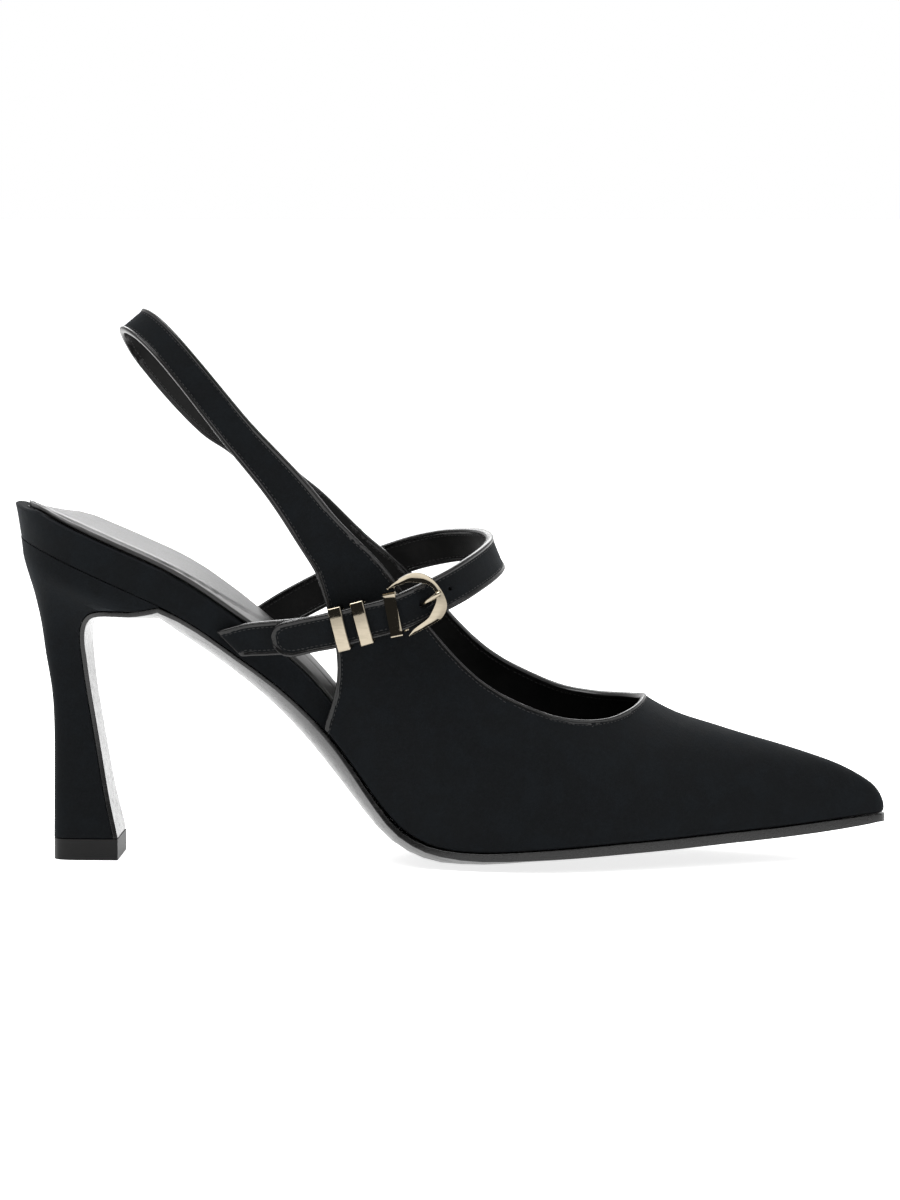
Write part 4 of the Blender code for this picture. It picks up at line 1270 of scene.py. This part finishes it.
@dataclass
class Buckle:
    """Cast frame with its bar, and the prong."""

    nodes: dict[str, bpy.types.Object]
    looks: Materials
    place: tuple[float, float, float] = (0.09121, -0.03316, 0.07290)
    ahead: tuple[float, float, float] = (0.94005, 0.02374, 0.34020)
    upright: tuple[float, float, float] = (-0.34030, 0.00022, 0.94032)
    outward: tuple[float, float, float] = (0.02225, -0.99972, 0.00828)
    outer: Sequence[tuple[float, float]] = (
        (-0.00160, 0.00763), (0.00220, 0.00885), (0.00530, 0.00945), (0.00780, 0.00905),
        (0.01000, 0.00768), (0.01140, 0.00578), (0.01230, 0.00380), (0.01290, 0.00107),
        (0.01296, -0.00160), (0.01230, -0.00335), (0.01070, -0.00495), (0.00880, -0.00580),
        (0.00593, -0.00633), (0.00317, -0.00675), (0.00030, -0.00720))
    inner: Sequence[tuple[float, float]] = (
        (-0.00130, 0.00718), (0.00165, 0.00727), (0.00490, 0.00725), (0.00690, 0.00638),
        (0.00900, 0.00530), (0.01030, 0.00410), (0.01080, 0.00280), (0.01090, 0.00140),
        (0.01050, -0.00005), (0.00960, -0.00130), (0.00800, -0.00290), (0.00660, -0.00400),
        (0.00380, -0.00492), (0.00180, -0.00560), (-0.00010, -0.00670))
    heights: Sequence[tuple[float, float]] = (
        (-0.0020, 0.0000), (0.0020, 0.0013), (0.0045, 0.0018), (0.0080, 0.0020), (0.0105, 0.0020),
        (0.0130, 0.0019))
    columns: int = 56
    rows: int = 4
    line_step: float = 0.0001
    thickness: float = 0.0014
    edge: float = 0.00050
    face_crown: float = 2.0
    dish: float = 0.00015
    dish_reach: float = 0.007
    bar_radius: float = 0.0008
    bar_reach: tuple[float, float] = (-0.0056, 0.0060)
    bar_behind: float = 0.0004
    bar_under: float = 0.0020
    prong_growth: float = 0.00030

    def placed(self, across: float, up: float, out: float) -> Vector:
        """A place given ahead of the bar, up across the strap and out from it."""
        return (Vector(self.place) + Vector(self.ahead) * across + Vector(self.upright) * up
                + Vector(self.outward) * out)

    def build(self) -> None:
        """Build frame and prong."""
        self.frame()
        self.prong()

    def frame(self) -> None:
        """A flat cast band, open over the strap, whose ends taper to the bar."""
        piece = new_grid("cast_frame", self.columns, self.rows)
        lines = [evenly(smooth_line([Vector((x, y, 0)) for x, y in line]), self.line_step)
                 for line in (self.outer, self.inner)]
        run, height = zip(*self.heights)
        places = corners(piece.data)
        for index, (along, side, _) in enumerate(places.copy()):
            spots = []
            for line in lines:
                at = (along + 1) / 2 * (len(line) - 1)
                spots.append(line[int(at)].lerp(line[min(int(at) + 1, len(line) - 1)], at % 1))
            spot = spots[0].lerp(spots[1], (side + 1) / 2)
            out = float(np.interp(spot.x, run, height)) - self.face_crown * spot.y ** 2
            out -= self.dish * (1 - abs(side)) * min(abs(spot.y) / self.dish_reach, 1.0)
            places[index] = self.placed(spot.x, spot.y, out)
        move_corners(piece.data, places)
        apply_modifier(piece, "SOLIDIFY", thickness=self.thickness, offset=0.0)
        apply_modifier(piece, "BEVEL", width=self.edge, segments=1, limit_method="ANGLE",
                       angle_limit=math.radians(50))
        bpy.ops.object.mode_set(mode="EDIT")
        bpy.ops.mesh.select_all(action="SELECT")
        bpy.ops.mesh.normals_make_consistent(inside=False)
        bpy.ops.object.mode_set(mode="OBJECT")
        bar = self.bar()
        pick(piece, bar)
        bpy.ops.object.join()
        bpy.ops.object.shade_smooth_by_angle(angle=math.radians(28))
        settle(piece, [self.looks.metal], ["buckle_frame"])

    def bar(self) -> bpy.types.Object:
        """The bar under the strap that the prong turns on.

        Returns:
            The bar.
        """
        low, high = (self.placed(-self.bar_behind, reach, -self.bar_under) for reach in self.bar_reach)
        bpy.ops.object.select_all(action="DESELECT")
        bpy.ops.mesh.primitive_cylinder_add(vertices=16, radius=self.bar_radius, depth=(high - low).length)
        bar = bpy.context.active_object
        bar.matrix_world = (Matrix.Translation((low + high) / 2)
                            @ (high - low).to_track_quat("Z", "Y").to_matrix().to_4x4())
        pick(bar)
        bpy.ops.object.transform_apply(location=True, rotation=True, scale=True)
        apply_modifier(bar, "BEVEL", width=0.0002, segments=2, limit_method="ANGLE",
                       angle_limit=math.radians(50))
        return bar

    def prong(self) -> None:
        """The prong, as thick as a cast one."""
        piece = taken_from(self.nodes["buckle_prong"], "cast_prong")
        refine(piece, 2, rounds=0)
        normals = np.empty(len(piece.data.vertices) * 3)
        piece.data.vertices.foreach_get("normal", normals)
        move_corners(piece.data, corners(piece.data) + normals.reshape(-1, 3) * self.prong_growth)
        settle(piece, [self.looks.metal], ["buckle_prong"])


# Setting


@dataclass
class Studio:
    """Pale floor, soft light and the camera at the photograph's angle."""

    target: tuple[float, float, float] = (0.1037, 0.0, 0.0737)
    azimuth: float = math.radians(2.0)
    elevation: float = math.radians(4.5)
    distance: float = 1.5
    lens: float = 157.5

    def build(self) -> None:
        """Set up floor, world, lights and camera."""
        self.floor()
        self.world()
        self.lamp("key", (-0.28, -0.16, 1.12), 10.0, 0.7)
        self.lamp("fill", (0.75, -0.55, 0.70), 3.5, 0.7)
        self.lamp("rim", (0.10, 0.90, 0.75), 7.0, 0.7)
        self.camera()
        bpy.context.scene.view_settings.view_transform = "Standard"

    def floor(self) -> None:
        """A plain pale floor."""
        bpy.ops.object.select_all(action="DESELECT")
        bpy.ops.mesh.primitive_plane_add(size=60.0, location=(0.1, 0.0, 0.0))
        floor = bpy.context.active_object
        floor.name = "floor"
        material, sheet, shader = dressed_sheet(
            "pale_floor", Specular_IOR_Level=0.1, Emission_Color=grey(1.0), Emission_Strength=0.78)
        tint = sheet.noise(0.08, 2.0)
        colour = sheet.blend(tint, grey(0.88), grey(0.90))
        sheet.feed(shader, Base_Color=colour, Roughness=0.55 + tint * 0.1)
        floor.data.materials.append(material)

    def world(self) -> None:
        """White surroundings, with a dark zone in front and a half-dark ceiling for reflections."""
        world = bpy.data.worlds.new("studio")
        world.use_nodes = True
        bpy.context.scene.world = world
        sheet = Sheet(world.node_tree)
        heading = sheet.add("ShaderNodeTexCoord").outputs["Generated"]
        parts = sheet.add("ShaderNodeSeparateXYZ", None, {0: heading})
        front = (Socket(sheet, parts.outputs["Y"]) * -1.0).eased(0.10, 0.40)
        height = Socket(sheet, parts.outputs["Z"])
        seen = Socket(sheet, sheet.add("ShaderNodeLightPath").outputs["Is Camera Ray"])
        dark = front * (1.0 - height.eased(0.50, 0.85)) * (1.0 - seen)
        ceiling = height.eased(0.35, 0.80) * (1.0 - seen) * 0.5
        colour = sheet.blend(dark, sheet.blend(ceiling, grey(1.0), grey(0.1)), grey(0.04))
        background = sheet.add("ShaderNodeBackground", None, {"Color": colour, "Strength": 1.0})
        sheet.add("ShaderNodeOutputWorld", None, {"Surface": background.outputs[0]})

    def lamp(self, name: str, place: tuple[float, float, float], power: float, size: float) -> None:
        """A square soft light aimed at the shoe.

        Args:
            name: The lamp's name.
            place: Where it hangs.
            power: Its power in watts.
            size: Its side in metres.
        """
        light = bpy.data.lights.new(name, "AREA")
        light.shape = "SQUARE"
        light.size = size
        light.energy = power
        lamp = bpy.data.objects.new(name, light)
        lamp.location = place
        lamp.rotation_euler = (Vector(place) - Vector(self.target)).to_track_quat("Z", "Y").to_euler()
        bpy.context.scene.collection.objects.link(lamp)

    def camera(self) -> None:
        """The camera at the photograph's angle and distance."""
        back = Vector((math.sin(self.azimuth) * math.cos(self.elevation),
                       -math.cos(self.azimuth) * math.cos(self.elevation), math.sin(self.elevation)))
        data = bpy.data.cameras.new("camera")
        data.sensor_width = 36.0
        data.lens = self.lens
        data.clip_start = 0.05
        data.clip_end = 30.0
        camera = bpy.data.objects.new("camera", data)
        camera.location = Vector(self.target) + back * self.distance
        camera.rotation_euler = back.to_track_quat("Z", "Y").to_euler()
        bpy.context.scene.collection.objects.link(camera)
        bpy.context.scene.camera = camera


def main() -> None:
    """Build the shoe and its setting."""
    logging.basicConfig(level=logging.INFO, format="%(name)s %(message)s")
    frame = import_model()
    nodes = frame["nodes"]
    looks = Materials.make()
    Upper(nodes, looks).build()
    Strap(nodes["instep_strap"], looks, holes=((0.0970, -0.0322, 0.0750), (0.1059, -0.0283, 0.0798)),
          hole_radii=(0.0011, 0.0006), hole_depths=(0.0040, 0.0011), board=nodes["insole_board"]).build()
    Strap(nodes["buckle_strap"], looks, board=nodes["insole_board"]).build()
    seat = SeatShape(nodes["insole"])
    Sock(seat, looks).build()
    WrappedBoard(nodes["insole_board"], "wrapped_board", "suede", looks.suede, 0.0003, 2, seat=seat).build()
    RigidPiece(nodes["heel"], "covered_heel", "suede", looks.suede, 0.0003, 0).build()
    RigidPiece(nodes["outsole"], "sole", "sole", looks.sole, 0.0004, 0).build()
    RigidPiece(nodes["heel_tip"], "wearing_tip", "tip", looks.tip, 0.0004, 0).build()
    for name in ("keeper_rear", "keeper_front"):
        Keeper(nodes[name], looks, tilt=math.radians(1.4)).build()
    Keeper(nodes["buckle_keeper"], looks, edge=0.00036, crown=0.0001, tilt=math.radians(5),
           turn=math.radians(-6), widen=1.25, border=0.00042).build()
    Buckle(nodes, looks).build()
    Studio().build()


if __name__ == "__main__":
    main()
